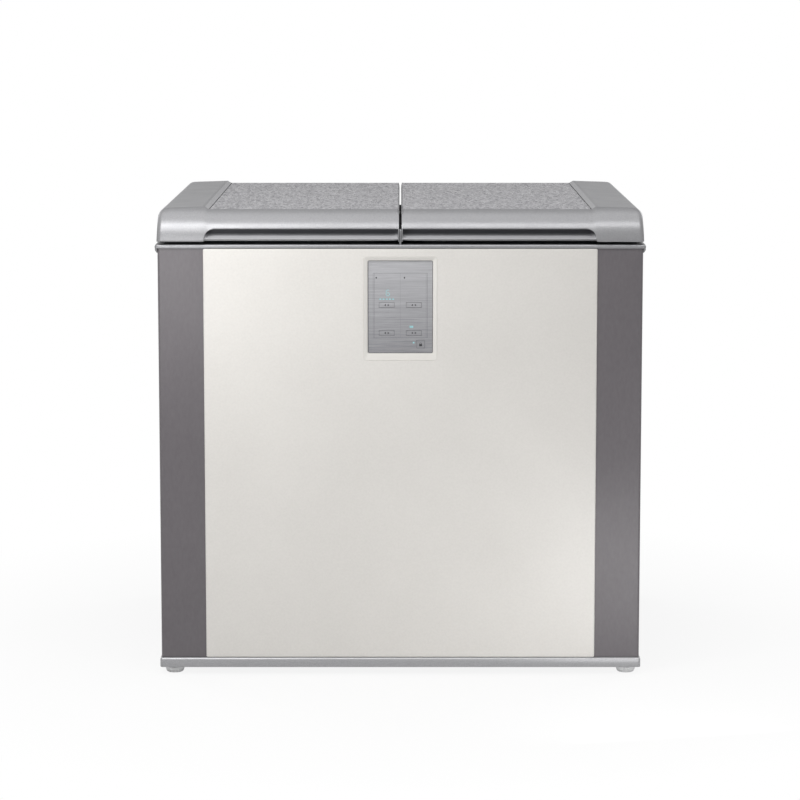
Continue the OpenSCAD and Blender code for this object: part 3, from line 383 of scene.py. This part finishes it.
def rib_painted_shadow():
    """Painted shadow: a dark strip laid over the rib's upper edge, standing in for the shade deep in the
    gap between the lids. Its edge line in (y, z) is lifted 0.3 mm, with its section an upturned U that
    laps 3 mm down both sides. It starts behind the rib's front end, which stays uncovered."""
    y = np.array([-384.6, -384.4, -382, -377, -372, -346, -100, 340.8, 341.0])
    top = np.array([853.6, 854.7, 855.3, 855.3, 853.7, 845.3, 845.3, 845.3, 844.0])
    across = np.array([-1.9, -1.9, -1.2, 1.2, 1.9, 1.9])[:, None]
    drop = np.array([3.0, 0.6, 0.0, 0.0, 0.6, 3.0])[:, None]
    return [grid(across, y, top - drop)]


def leaving(angle, cz, x0, x1, z0, z1, r):
    """Where rays from (x 0, z cz) leave a rounded rectangle: the nearer of the side and the end, or,
    past a corner's middle, the corner's circle."""
    c, s = np.cos(angle), np.sin(angle)
    reach = np.minimum(np.where(c > 0, x1, -x0) / np.maximum(np.abs(c), 1e-9),
                       np.where(s > 0, z1 - cz, cz - z0) / np.maximum(np.abs(s), 1e-9))
    for ox in (x0 + r, x1 - r):
        for oz in (z0 + r - cz, z1 - r - cz):
            past = (reach * c - ox) * np.sign(ox) > 0
            past &= (reach * s - oz) * np.sign(oz) > 0
            b = c * ox + s * oz
            q = b**2 - (ox**2 + oz**2 - r**2)
            reach = np.where(past & (q > 0), b + np.sqrt(np.maximum(q, 0)), reach)
    return reach * c, cz + reach * s


def panel_face():
    """Front panel: rolled edge of 2.2 mm, then a flat face that runs to the recess. Outer and inner
    outlines are cut by the same rays from the recess's middle."""
    cz, r, corner = 704.5, 2.2, 3.0

    def outline(d):
        """Sides, foot, top and radius of the panel, drawn in by d."""
        return -PANEL_X + d, PANEL_X - d, CASE_Z + d, PANEL_TOP - d, corner

    marks = np.concatenate([rounded_ring(*outline(0), 5, 12)[:-1], rounded_ring(*outline(r), 5, 12)[:-1],
                            rounded_ring(*HOLE, 6, 8)[:-1]])
    angle = np.unique(np.round(np.arctan2(marks[:, 1] - cz, marks[:, 0]), 6))
    angle = np.append(angle, angle[0] + 2 * np.pi)
    rows = []
    for a in np.concatenate([[0], np.linspace(0, 1, 7)]) * np.pi / 2:
        x, z = leaving(angle, cz, *outline(r * (1 - np.cos(a))))
        rows.append(grid(x, PANEL_Y + r * (1 - np.sin(a)), z))
    rows[0][:, 1] = CASE_Y
    outer = rows[-1]
    x, z = leaving(angle, cz, *HOLE)
    inner = grid(x, PANEL_Y, z)
    rows += [outer * (1 - w) + inner * w for w in (0.25, 0.5, 0.75, 1)]
    rows.append(grid(x, PANEL_Y + 1, z))
    return [np.stack(rows)]


def recess():
    """Shallow recess: a rolled outer edge, four gentle slopes, then a rounded step down to the plate.
    Each ring is a rounded rectangle drawn in from the sides and top, and from the foot, by its own
    amounts, at its radius and depth. The loft's y and z change places, so that it faces the front."""
    outer = [(0, 0, 5.0, 7.4), (0, 0, 5.0, 0.5), (0.15, 0.15, 4.9, 0.15), (0.5, 0.5, 4.8, 0),
             (1.2, 1.3, 4.7, 0.15), (2.4, 3.0, 4.5, 0.6)]
    plate = [(-1.6, -2.0, 3.8, 2.1), (-0.7, -0.8, 3.3, 2.5), (-0.15, -0.2, 3.1, 3.1), (0, 0, 3.0, 3.8),
             (0, 0, 3.0, 7.4)]
    rings = [(-x + d, x - d, z0 + low, z1 - d, r, PANEL_Y + deep)
             for x, z0, z1, rows in ((69.4, 606.0, 803.0, outer), (61.5, 619.3, 795.5, plate))
             for d, low, r, deep in rows]
    return [loft(rings, 8, 8)[..., [0, 2, 1]]]


def base_bar():
    """Base trim: the plan outline of a shallow tray front, with 5 mm corners, carried up a section with
    rolled edges."""
    x, r, rear = 460.0, 5.0, -346.0
    t = np.linspace(0, np.pi / 2, 9)
    left = np.stack([-x + r - r * np.cos(t), TRIM_Y + r - r * np.sin(t)], -1)
    right = left[::-1] * [-1, 1]
    run = np.linspace(left[-1], right[0], 26)[1:-1]
    path = np.concatenate([[[-x, rear]], left, run, right, [[x, rear]]])
    inward = np.concatenate([[[1, 0]], np.stack([np.cos(t), np.sin(t)], -1), np.tile([0, 1.0], (len(run), 1)),
                             np.stack([-np.sin(t), np.cos(t)], -1), [[-1, 0]]])
    section = [(5.0, 13.5), (1.4, 13.5), (0.5, 13.8), (0.0, 14.8), (0.0, 29.2), (0.15, 29.5), (2.1, 31.8),
               (2.5, 32.0), (6.0, 32.0)]
    drawn = [path + inward * d for d, z in section]
    return [np.stack([grid(p[:, 0], p[:, 1], z) for p, (d, z) in zip(drawn, section)])]


def levelling_foot(side):
    """Foot turned about its stud: the radius widens from the sole to the rim, and grows and shrinks
    with the angle to make 30 ribs of 0.8 mm between them. The profile's columns are radius, height and
    how deep the ribs are there."""
    foot_x, foot_y, rib = side * 433.5, -364.0, 0.8
    a = np.linspace(0, 2 * np.pi, 241)
    profile = np.array([(0, 0.0, 0), (13.0, 0.0, 0), (14.6, 0.3, 0), (15.9, 1.2, 0.2), (16.9, 3.0, 0.8),
                        (17.7, 5.2, 1), (18.3, 7.4, 1), (18.7, 8.8, 0.8), (19.0, 9.8, 0.2), (19.0, 11.0, 0),
                        (18.2, 11.5, 0), (4.0, 11.5, 0), (4.0, 28.0, 0), (0, 28.4, 0)])
    ribs = 0.5 + 0.5 * np.cos(30 * a)
    radius = profile[:, :1] - profile[:, 2:] * rib * ribs
    return [grid(foot_x + radius * np.cos(a), foot_y + radius * np.sin(a), profile[:, 1:2])]


# ---------- Finishes ----------

def linear(hexes):
    """sRGB hex digits to linear RGBA."""
    s = np.array([int(hexes[i:i + 2], 16) for i in (0, 2, 4)]) / 255
    return (*np.where(s <= 0.04045, s / 12.92, ((s + 0.055) / 1.055) ** 2.4).tolist(), 1.0)


def add(tree, kind, feeds=(), **settings):
    """One node: settings are its properties, feeds its inputs, in order or by key. A socket is linked
    in, hex digits are a colour, and any other value is set. Returns the node's outputs."""
    made = tree.nodes.new("ShaderNode" + kind)
    for key, value in settings.items():
        setattr(made, key, value)
    for key, value in feeds.items() if isinstance(feeds, dict) else enumerate(feeds):
        if isinstance(value, bpy.types.NodeSocket):
            tree.links.new(value, made.inputs[key])
        else:
            made.inputs[key].default_value = linear(value) if isinstance(value, str) else value
    return made.outputs


def finish(name, **shader):
    """New material with one Principled shader; hex digits are a colour. Returns the material, its tree,
    the shader and the Object coordinates."""
    made = bpy.data.materials.new(name)
    made.use_nodes = True
    tree = made.node_tree
    bsdf = tree.nodes["Principled BSDF"]
    for key, value in shader.items():
        bsdf.inputs[key.replace("_", " ")].default_value = linear(value) if isinstance(value, str) else value
    made.diffuse_color = bsdf.inputs["Base Color"].default_value
    return made, tree, bsdf, add(tree, "TexCoord")["Object"]


def clouds(tree, place, size_mm, low, high, detail=3.0):
    """A value that drifts between low and high in clouds of about size_mm."""
    cloud = add(tree, "TexNoise", {"Vector": place, "Scale": 1000 / size_mm, "Detail": detail})["Fac"]
    return add(tree, "MapRange", [cloud, 0.3, 0.7, low, high])[0]


def dress(tree, bsdf, height, depth_mm, strength, **feeds):
    """Feeds the shader with sockets, and with the slopes of a height of depth_mm."""
    slope = add(tree, "Bump", {"Height": height, "Distance": depth_mm / 1000, "Strength": strength})
    tree.links.new(slope["Normal"], bsdf.inputs["Normal"])
    for key, value in feeds.items():
        tree.links.new(value, bsdf.inputs[key.replace("_", " ")])


def coated_sheet(name, dark, light, rough, coat, drawn):
    """Pre-coated steel sheet: pearl paint laid on by rollers, so the eye sees a smooth satin face with
    a fine mica grain of about 4 mm, coarser than life, drawn out along the coil, and a faint orange
    peel."""
    made, tree, bsdf, place = finish(name, Base_Color=light, Roughness=rough, IOR=1.5, Coat_Weight=coat,
                                     Coat_Roughness=0.3)
    along = add(tree, "Mapping", {"Vector": place, "Scale": (1.0, 1.0, drawn)})["Vector"]
    mica = add(tree, "TexNoise", {"Vector": along, "Scale": 1000 / 4})["Fac"]
    broad = add(tree, "TexNoise", {"Vector": place, "Scale": 1000 / 180, "Detail": 3})["Fac"]
    both = add(tree, "Math", [mica, broad], operation="ADD")[0]
    tone = add(tree, "MapRange", [both, 0.65, 1.35, 0, 1])[0]
    colour = add(tree, "Mix", {0: tone, 6: dark, 7: light}, data_type="RGBA")[2]
    peel = add(tree, "TexNoise", {"Vector": place, "Scale": 1000 / 2.2})["Fac"]
    gloss = clouds(tree, place, 60, rough - 0.03, rough + 0.04)
    dress(tree, bsdf, peel, 0.02, 0.25, Base_Color=colour, Roughness=gloss)
    return made


def moulded(name, dark, light, rough, grain_mm=0.9, depth=0.02, ior=1.53, **more):
    """Injection-moulded plastic: a spark-eroded grain, coarser than life, so the eye sees soft, slightly
    broken gloss, and a tone that drifts a little over 40 mm."""
    made, tree, bsdf, place = finish(name, Base_Color=light, Roughness=rough, IOR=ior, **more)
    tone = add(tree, "TexNoise", {"Vector": place, "Scale": 1000 / 40, "Detail": 3})["Fac"]
    colour = add(tree, "Mix", {0: tone, 6: dark, 7: light}, data_type="RGBA")[2]
    grain = add(tree, "TexNoise", {"Vector": place, "Scale": 1000 / grain_mm})["Fac"]
    gloss = clouds(tree, place, 25, rough - 0.04, rough + 0.05)
    dress(tree, bsdf, grain, depth, 0.4, Base_Color=colour, Roughness=gloss)
    return made


def silver_paint(name, dark, light):
    """ABS sprayed with silver metallic paint: flakes of 0.7 mm under the film, coarser than life, break
    the light into small bright and dark grains."""
    made, tree, bsdf, place = finish(name, Base_Color=light, Roughness=0.35, Metallic=0.5,
                                     Specular_Tint="6e6e70", Specular_IOR_Level=0.3)
    flakes = add(tree, "TexVoronoi", {"Vector": place, "Scale": 1000 / 0.7})["Color"]
    grain = add(tree, "SeparateColor", [flakes])["Red"]
    colour = add(tree, "Mix", {0: grain, 6: dark, 7: light}, data_type="RGBA")[2]
    film = add(tree, "TexNoise", {"Vector": place, "Scale": 1000 / 1.6})["Fac"]
    dress(tree, bsdf, film, 0.01, 0.2, Base_Color=colour, Roughness=clouds(tree, place, 50, 0.32, 0.38))
    return made


def shaded_pocket_paint():
    """Light grey ABS with painted shade: the scoop's floor is light grey, and up its rear wall, between
    840.5 and 847 mm, the colour darkens to charcoal, standing in for the shade under the lid's nose."""
    made, tree, bsdf, place = finish("grey_abs_painted_shade", Base_Color="b0b0b3", Roughness=0.5, IOR=1.53,
                                     Specular_IOR_Level=0.2)
    height = add(tree, "SeparateXYZ", [place])["Z"]
    drift = add(tree, "TexNoise", {"Vector": place, "Scale": 1000 / 12, "Detail": 3})["Fac"]
    uneven = add(tree, "Math", [drift, 0.001, height], operation="MULTIPLY_ADD")[0]
    # painted shade: the colour turns from light to dark grey up the rear wall, where the lid's nose shades it
    wall_painted_shade = add(tree, "MapRange", [uneven, 0.8405, 0.847, 0, 1])[0]
    colour = add(tree, "Mix", {0: wall_painted_shade, 6: "c0c0c3", 7: "5a5a5e"}, data_type="RGBA")[2]
    grain = add(tree, "TexNoise", {"Vector": place, "Scale": 1000 / 1.2})["Fac"]
    dress(tree, bsdf, grain, 0.02, 0.4, Base_Color=colour, Roughness=clouds(tree, place, 25, 0.46, 0.55))
    return made


def speckled_film():
    """Acrylic plate over a glitter film: hard little flakes of 1.4 mm between crinkled leaves of 4 by
    11 mm, both coarser than life so that they show in a low view, under a smooth clear face."""
    made, tree, bsdf, place = finish("glitter_acrylic", Base_Color="a4a3a7", Roughness=0.4, Metallic=0.4,
                                     Specular_Tint="6e6e70", Specular_IOR_Level=0.25)
    long = add(tree, "Mapping", {"Vector": place, "Scale": (1.0, 0.36, 1.0)})["Vector"]
    leaves = add(tree, "TexVoronoi", {"Vector": long, "Scale": 1000 / 4})["Color"]
    leaves = add(tree, "SeparateColor", [leaves])
    flakes = add(tree, "TexVoronoi", {"Vector": place, "Scale": 1000 / 1.4})["Color"]
    flakes = add(tree, "SeparateColor", [flakes])
    both = add(tree, "Math", [leaves["Red"], flakes["Red"]], operation="ADD")[0]
    bright = add(tree, "MapRange", [both, 0.3, 1.7, 0, 1])[0]
    colour = add(tree, "Mix", {0: bright, 6: "5f5e63", 7: "c6c5c8"}, data_type="RGBA")[2]
    rough = add(tree, "MapRange", [leaves["Green"], 0, 1, 0.25, 0.5])[0]
    dress(tree, bsdf, flakes["Blue"], 0.05, 0.5, Base_Color=colour, Roughness=rough)
    return made


def patch(tree, place, x, z, w, h, line=0.0):
    """Mask of a rectangle on the control plate, in mm, or of its outline when a line width is given:
    the larger of the distances past its sides and past its ends is below 0, or close to 0."""
    off = add(tree, "VectorMath", [place, (x / 1000, 0, z / 1000)], operation="SUBTRACT")[0]
    off = add(tree, "VectorMath", [off], operation="ABSOLUTE")[0]
    past = add(tree, "VectorMath", [off, (w / 2000, 0, h / 2000)], operation="SUBTRACT")[0]
    past = add(tree, "SeparateXYZ", [past])
    far = add(tree, "Math", [past["X"], past["Z"]], operation="MAXIMUM")[0]
    if line:
        return add(tree, "Math", [far, 0, line / 2000], operation="COMPARE")[0]
    return add(tree, "Math", [far, 0], operation="LESS_THAN")[0]


def wedge(tree, place, x, z, way, length, half):
    """Mask of a triangle that points to +X or -X: u goes from 0 at its foot to 1 at its tip, v from -1
    to 1 along its foot, and it holds the points where u > 0 and u + |v| < 1."""
    unit = add(tree, "Mapping", {"Vector": place, "Location": (-way * x / length, 0, -z / half),
                                 "Scale": (1000 * way / length, 0, 1000 / half)})["Vector"]
    unit = add(tree, "SeparateXYZ", [unit])
    across = add(tree, "Math", [unit["Z"]], operation="ABSOLUTE")[0]
    reach = add(tree, "Math", [unit["X"], across], operation="ADD")[0]
    near = add(tree, "Math", [reach, 1], operation="LESS_THAN")[0]
    ahead = add(tree, "Math", [unit["X"], 0], operation="GREATER_THAN")[0]
    return add(tree, "Math", [near, ahead], operation="MULTIPLY")[0]


def bow(tree, place, x, z, r, line):
    """Mask of the upper half of a ring: the distance to its middle is close to r, above the middle."""
    off = add(tree, "Mapping", {"Vector": place, "Location": (-x / 1000, 0, -z / 1000),
                                "Scale": (1, 0, 1)})["Vector"]
    reach = add(tree, "VectorMath", [off], operation="LENGTH")["Value"]
    ring = add(tree, "Math", [reach, r / 1000, line / 2000], operation="COMPARE")[0]
    upper = add(tree, "Math", [add(tree, "SeparateXYZ", [off])["Z"], 0], operation="GREATER_THAN")[0]
    return add(tree, "Math", [ring, upper], operation="MULTIPLY")[0]


def brushed_plate():
    """Anodised aluminium, brushed from side to side: long hairlines of about 0.9 mm, coarser than life,
    so the eye sees a streaked silver face. Painted shade makes it darker towards its lower edge, as if
    lit from above. Fine lines are etched into it, a dark outline round the plate's edge is painted
    shadow from its gap to the recess, the keys' gaps are dark, and the keys carry plain marks."""
    made, tree, bsdf, place = finish("brushed_anodised_aluminium", Base_Color="a8a8ab", Roughness=0.42,
                                     Metallic=0.3, Specular_IOR_Level=0.3)
    stretched = add(tree, "Mapping", {"Vector": place, "Scale": (0.012, 1.0, 1.0)})["Vector"]
    hair = add(tree, "TexNoise", {"Vector": stretched, "Scale": 1000 / 0.9, "Detail": 4,
                                  "Roughness": 0.75})["Fac"]
    height = add(tree, "SeparateXYZ", [place])["Z"]
    streak = add(tree, "MapRange", [hair, 0.3, 0.7, 0, 0.55])[0]
    # painted shade: the plate gets lighter towards its top at 795 mm and darker towards its foot at 620 mm
    lower_painted_shade = add(tree, "MapRange", [height, 0.62, 0.795, 0, 0.5])[0]
    tone = add(tree, "Math", [streak, lower_painted_shade], operation="ADD")[0]
    colour = add(tree, "Mix", {0: tone, 6: "7a7a7e", 7: "c8c8cb"}, data_type="RGBA")[2]
    keys = [(-25.6, 710.9), (25.6, 710.9), (-25.6, 657.8), (25.6, 657.8)]
    lock_x = 38.4
    # each rectangle: x and z of its middle, width, height and, for an outline, the line's width
    etched = [(0, 709.9, 102.4, 122.6, 0.6), (-48.8, 709.9, 0.5, 122.6), (48.8, 709.9, 0.5, 122.6)]
    faint = [(0, 709.9, 0.5, 122.6), (0, 699.2, 97.6, 0.5), (0, 665.2, 97.6, 0.5)]
    gaps = [(x, z, 28.8, 9.8, 0.7) for x, z in keys] + [(lock_x, 636.4, 15.2, 15.2, 0.7)]
    # painted shadow: a dark 1 mm outline round the plate, standing in for the shade in its gap to the recess
    edge = [(0, 707.4, 121.9, 175.1, 1.0)]
    # printed marks: a padlock on the lock key, two dots, and two arrows on each bar key
    blocks = [(lock_x, 634.6, 5.6, 4.4), (-45.4, 762.7, 2.4, 3.0), (7.8, 762.7, 2.4, 3.0)]
    arrows = [wedge(tree, place, x + way * 1.6, z, way, 3.6, 1.9) for way in (-1, 1) for x, z in keys]
    marks = arrows + [bow(tree, place, lock_x, 636.8, 2.0, 0.8)]
    # each layer: its rectangles, its other masks, its colour, and how far it covers what lies below
    layers = ((etched, [], "6f6e73", 0.75), (faint, [], "7f7e83", 0.5), (gaps, [], "6a696d", 0.6),
              (edge, [], "4a494d", 0.85), (blocks, marks, "2a2a2d", 0.9))
    for rectangles, others, shade, share in layers:
        cover = 0.0
        for mask in [patch(tree, place, *sizes) for sizes in rectangles] + others:
            cover = add(tree, "Math", [cover, mask], operation="MAXIMUM")[0]
        cover = add(tree, "Math", [cover, share], operation="MULTIPLY")[0]
        colour = add(tree, "Mix", {0: cover, 6: colour, 7: shade}, data_type="RGBA")[2]
    rough = add(tree, "MapRange", [hair, 0.3, 0.7, 0.36, 0.5])[0]
    dress(tree, bsdf, hair, 0.01, 0.3, Base_Color=colour, Roughness=rough)
    return made


def bare_metal(name, dark, light, rough, grain_mm, metallic=1.0):
    """Metal left as it was rolled, drawn or plated: crystals of grain_mm give a clouded tone and a fine
    broken gloss."""
    made, tree, bsdf, place = finish(name, Base_Color=light, Roughness=rough, Metallic=metallic)
    crystals = add(tree, "TexVoronoi", {"Vector": place, "Scale": 1000 / grain_mm})["Color"]
    tone = add(tree, "SeparateColor", [crystals])["Red"]
    colour = add(tree, "Mix", {0: tone, 6: dark, 7: light}, data_type="RGBA")[2]
    fine = add(tree, "TexNoise", {"Vector": place, "Scale": 1000 / 1.2})["Fac"]
    gloss = clouds(tree, place, grain_mm, rough - 0.06, rough + 0.08)
    dress(tree, bsdf, fine, 0.02, 0.2, Base_Color=colour, Roughness=gloss)
    return made


def lit_sign():
    """Acrylic diffuser over a cyan lamp: an even pale glow that drifts a little over 6 mm."""
    made, tree, bsdf, place = finish("cyan_diffuser_acrylic", Base_Color="9ccbd0", Roughness=0.35, IOR=1.49,
                                     Emission_Color="9fd8de")
    tree.links.new(clouds(tree, place, 6, 0.04, 0.08, 2.0), bsdf.inputs["Emission Strength"])
    return made


def solder_mask():
    """Glass-fibre board under green solder mask: darker tracks on a 5 mm grid show through."""
    made, tree, bsdf, place = finish("green_solder_mask", Base_Color="1f6b3c", Roughness=0.32, IOR=1.55)
    tracks = add(tree, "TexVoronoi", {"Vector": place, "Scale": 1000 / 5, "Randomness": 0.6},
                 distance="CHEBYCHEV")["Distance"]
    tone = add(tree, "MapRange", [tracks, 0.35, 0.45, 0, 1])[0]
    colour = add(tree, "Mix", {0: tone, 6: "1c5f36", 7: "2b8450"}, data_type="RGBA")[2]
    dress(tree, bsdf, tracks, 0.03, 0.3, Base_Color=colour)
    return made


# One finish for each slot of the solids
finishes = {
    # steel sheet under pearl paint: satin faces with a fine mica grain, drawn out up the taupe sides
    "taupe_case": coated_sheet("taupe_coated_steel", "5c575b", "656064", 0.40, 0.6, 0.4),
    "cream_panel": coated_sheet("cream_coated_steel", "e9e6e1", "f0ede8", 0.38, 0.3, 1.0),
    # ABS in the panel's colour round the controls: even and half matt
    "cream_plastic": moulded("cream_abs", "e9e6e1", "edeae5", 0.38),
    # sprayed ABS of the lids and the deck frame: soft metallic grey with bright grains
    "silver_plastic": silver_paint("silver_painted_abs", "8b8b8d", "9e9ea0"),
    # glitter under acrylic, brushed aluminium, and a lit diffuser
    "speckled_inlay": speckled_film(),
    "brushed_plate": brushed_plate(),
    "display_cyan": lit_sign(),
    # black ABS of the deck collar, rollers, spacers and the controls' housing: dull, as a dark gap
    "dark_plastic": moulded("black_abs", "1d1d1f", "242426", 0.5, 1.2, 0.04),
    # polystyrene drawn over a mould for the rooms and the lids' insides: cool white, softly shining
    "white_plastic": moulded("white_vacuum_formed_hips", "dfe1e2", "e6e8e8", 0.35, 2.5, 0.02, 1.59),
    # nylon of the feet: pale and slightly waxy
    "grey_foot": moulded("light_grey_nylon", "ececed", "f3f3f3", 0.45, 1.0, 0.03),
    # soft PVC of the seals and mounts, the darkest and dullest of all; it also colours the dark strip on
    # the rib, which is painted shadow
    "rubber": moulded("black_gasket_pvc", "151516", "1b1b1c", 0.6, 1.5, 0.05, 1.54),
    # hot-dipped steel of the rear panel, base frame and brackets: pale grey with zinc spangles
    "zinc_steel": bare_metal("galvanised_steel", "a5a8aa", "b1b4b6", 0.42, 6.0, 0.8),
    # turned steel of pins, axles and screws: a brighter, tighter gloss
    "pin_steel": bare_metal("turned_steel", "a5a6a8", "b5b6b8", 0.28, 3.0),
    # baked enamel of the compressor: black with a clear gloss
    "compressor_black": moulded("black_enamelled_steel", "131314", "1a1a1b", 0.3, 3.0, 0.03, 1.5,
                                Coat_Weight=0.4, Coat_Roughness=0.15),
    # drawn copper tube: warm and half bright
    "copper": bare_metal("drawn_copper", "b0704a", "c98a62", 0.3, 6.0),
    # laminate under solder mask, and blown foam with open, pale yellow cells
    "circuit_board": solder_mask(),
    "foam": moulded("rigid_polyurethane_foam", "dccb9c", "ecdfb8", 0.85, 2.0, 0.4, 1.45),
}
# Painted shade darkens the pocket's rear wall. Lighter copies of the silver paint are painted light:
# a painted highlight along the lids' bevels, and more light on the base bar's face.
scoop_painted_shade = shaded_pocket_paint()
bevel_lit_silver = silver_paint("bevel_silver_painted_highlight", "a4a4a6", "b6b6b8")
base_bar_lit_silver = silver_paint("base_bar_silver_painted_light", "9c9c9e", "b0b0b2")

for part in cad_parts.values():
    slot_name = part.data.materials[0].name.split(".")[0]
    part.data.materials[0] = finishes[slot_name]


# ---------- Pieces ----------

silver, cream = finishes["silver_plastic"], finishes["cream_panel"]
for word, side, turned in (("left", -1, mirrored), ("right", 1, list)):
    lid, foot = "lid_" + word, "foot_" + word
    shell, plate, grip = "lid_shell_" + word, "lid_inlay_" + word, "lid_grip_" + word
    skin, bevel = lid_skin()
    surface("shell_" + word, turned(skin), silver, lid, [shell], wall=2.2)
    # the bevel wears a lighter copy of the silver paint: a painted highlight
    surface("bevel_" + word, turned(bevel), bevel_lit_silver, lid, [shell])
    surface("pocket_" + word, turned(pocket()), scoop_painted_shade, lid, [grip], crease=40,
            hollow=True)
    surface("top_plate_" + word, turned(inlay()), finishes["speckled_inlay"], lid, [plate])
    surface("ribbed_foot_" + word, levelling_foot(side), finishes["grey_foot"], foot, [foot])
surface("deck_trim", deck_trim(), silver, "cabinet", ["deck_frame"])
# dark strip on the rib: painted shadow deep in the gap between the lids
surface("rib_painted_shadow", rib_painted_shadow(), finishes["rubber"], "cabinet", [])
surface("panel_face", panel_face(), cream, "cabinet", ["front_panel"])
surface("recess_frame", recess(), finishes["cream_plastic"], "cabinet", ["control_bezel"],
        crease=20)
# the base bar wears a lighter copy of the silver paint: painted light on its face
surface("base_bar", base_bar(), base_bar_lit_silver, "cabinet", ["base_trim"])


# ---------- Floor and light ----------

def plainly_seen(tree):
    """1 for a ray that comes from the camera, off a mirror or through glass, otherwise 0."""
    ray = add(tree, "LightPath")
    seen = add(tree, "Math", [ray["Is Camera Ray"], ray["Is Glossy Ray"]], operation="MAXIMUM")[0]
    return add(tree, "Math", [seen, ray["Is Transmission Ray"]], operation="MAXIMUM")[0]


def pale_floor():
    """Large pale floor. Seen directly it glows white. Round the middle 14% of what is seen is lit paint,
    which takes the object's shadow and fades out between 0.5 and 1.2 m."""
    mesh = bpy.data.meshes.new("floor")
    reach = 40.0
    corners = [(-reach, -reach, 0), (reach, -reach, 0), (reach, reach, 0), (-reach, reach, 0)]
    mesh.from_pydata(corners, [], [(0, 1, 2, 3)])
    made, tree, bsdf, place = finish("pale_floor", Base_Color="f2f2f2", Roughness=0.9)
    glow = add(tree, "Emission", {"Strength": 1.0})[0]
    far = add(tree, "VectorMath", [place], operation="LENGTH")["Value"]
    share = add(tree, "MapRange", [far, 0.5, 1.2, 0.86, 1])[0]
    level = add(tree, "Math", [share, plainly_seen(tree)], operation="MULTIPLY")[0]
    mixed = add(tree, "MixShader", [level, bsdf.outputs[0], glow])[0]
    tree.links.new(mixed, tree.nodes["Material Output"].inputs["Surface"])
    mesh.materials.append(made)
    floor = bpy.data.objects.new("floor", mesh)
    bpy.context.scene.collection.objects.link(floor)


def white_room():
    """World: white where it is seen or mirrored, and a soft even light on everything else."""
    world = bpy.data.worlds.new("room")
    bpy.context.scene.world = world
    world.use_nodes = True
    tree = world.node_tree
    strength = add(tree, "MapRange", [plainly_seen(tree), 0, 1, 0.21, 1])[0]
    tree.links.new(strength, tree.nodes["Background"].inputs["Strength"])
    tree.nodes["Background"].inputs["Color"].default_value = linear("ffffff")


def lamp(name, place, aim, size, watts):
    """Soft box of a given width and height in metres, turned towards a point."""
    light = bpy.data.lights.new(name, "AREA")
    light.shape = "RECTANGLE"
    light.energy = watts
    light.size, light.size_y = size
    holder = bpy.data.objects.new(name, light)
    bpy.context.scene.collection.objects.link(holder)
    holder.location = place
    holder.visible_camera = False
    away = np.array(place, float) - aim
    away /= np.linalg.norm(away)
    holder.rotation_euler = (math.acos(away[2]), 0, math.atan2(away[0], -away[1]))


pale_floor()
white_room()
# The strip draws the light band along the noses, the keys brighten the front's upper left, and the fill
# lifts the base's right end. The two rear boxes light the back.
lamp("strip", (0, -1.45, 2.43), (0, -0.39, 0.86), (3.0, 0.3), 21)
lamp("top", (0, -0.2, 2.9), (0, -0.2, 0.9), (2.5, 1.4), 10)
lamp("key", (-0.9, -1.5, 1.9), (-0.2, -0.39, 0.6), (0.7, 0.7), 5)
lamp("key_near", (-0.55, -1.05, 0.8), (-0.42, -0.39, 0.74), (0.45, 0.45), 1.3)
lamp("key_high", (-0.45, -0.85, 1.3), (-0.4, -0.39, 0.75), (0.3, 0.3), 0.75)
lamp("fill", (0.5, -0.85, 0.06), (0.4, -0.39, 0.06), (0.4, 0.4), 0.9)
lamp("rear_left", (-2.4, 2.2, 2.0), (0, 0.3, 0.5), (1.5, 1.5), 30)
lamp("rear_right", (2.4, 2.2, 2.0), (0, 0.3, 0.5), (1.5, 1.5), 30)

bpy.context.scene.view_settings.view_transform = "Standard"
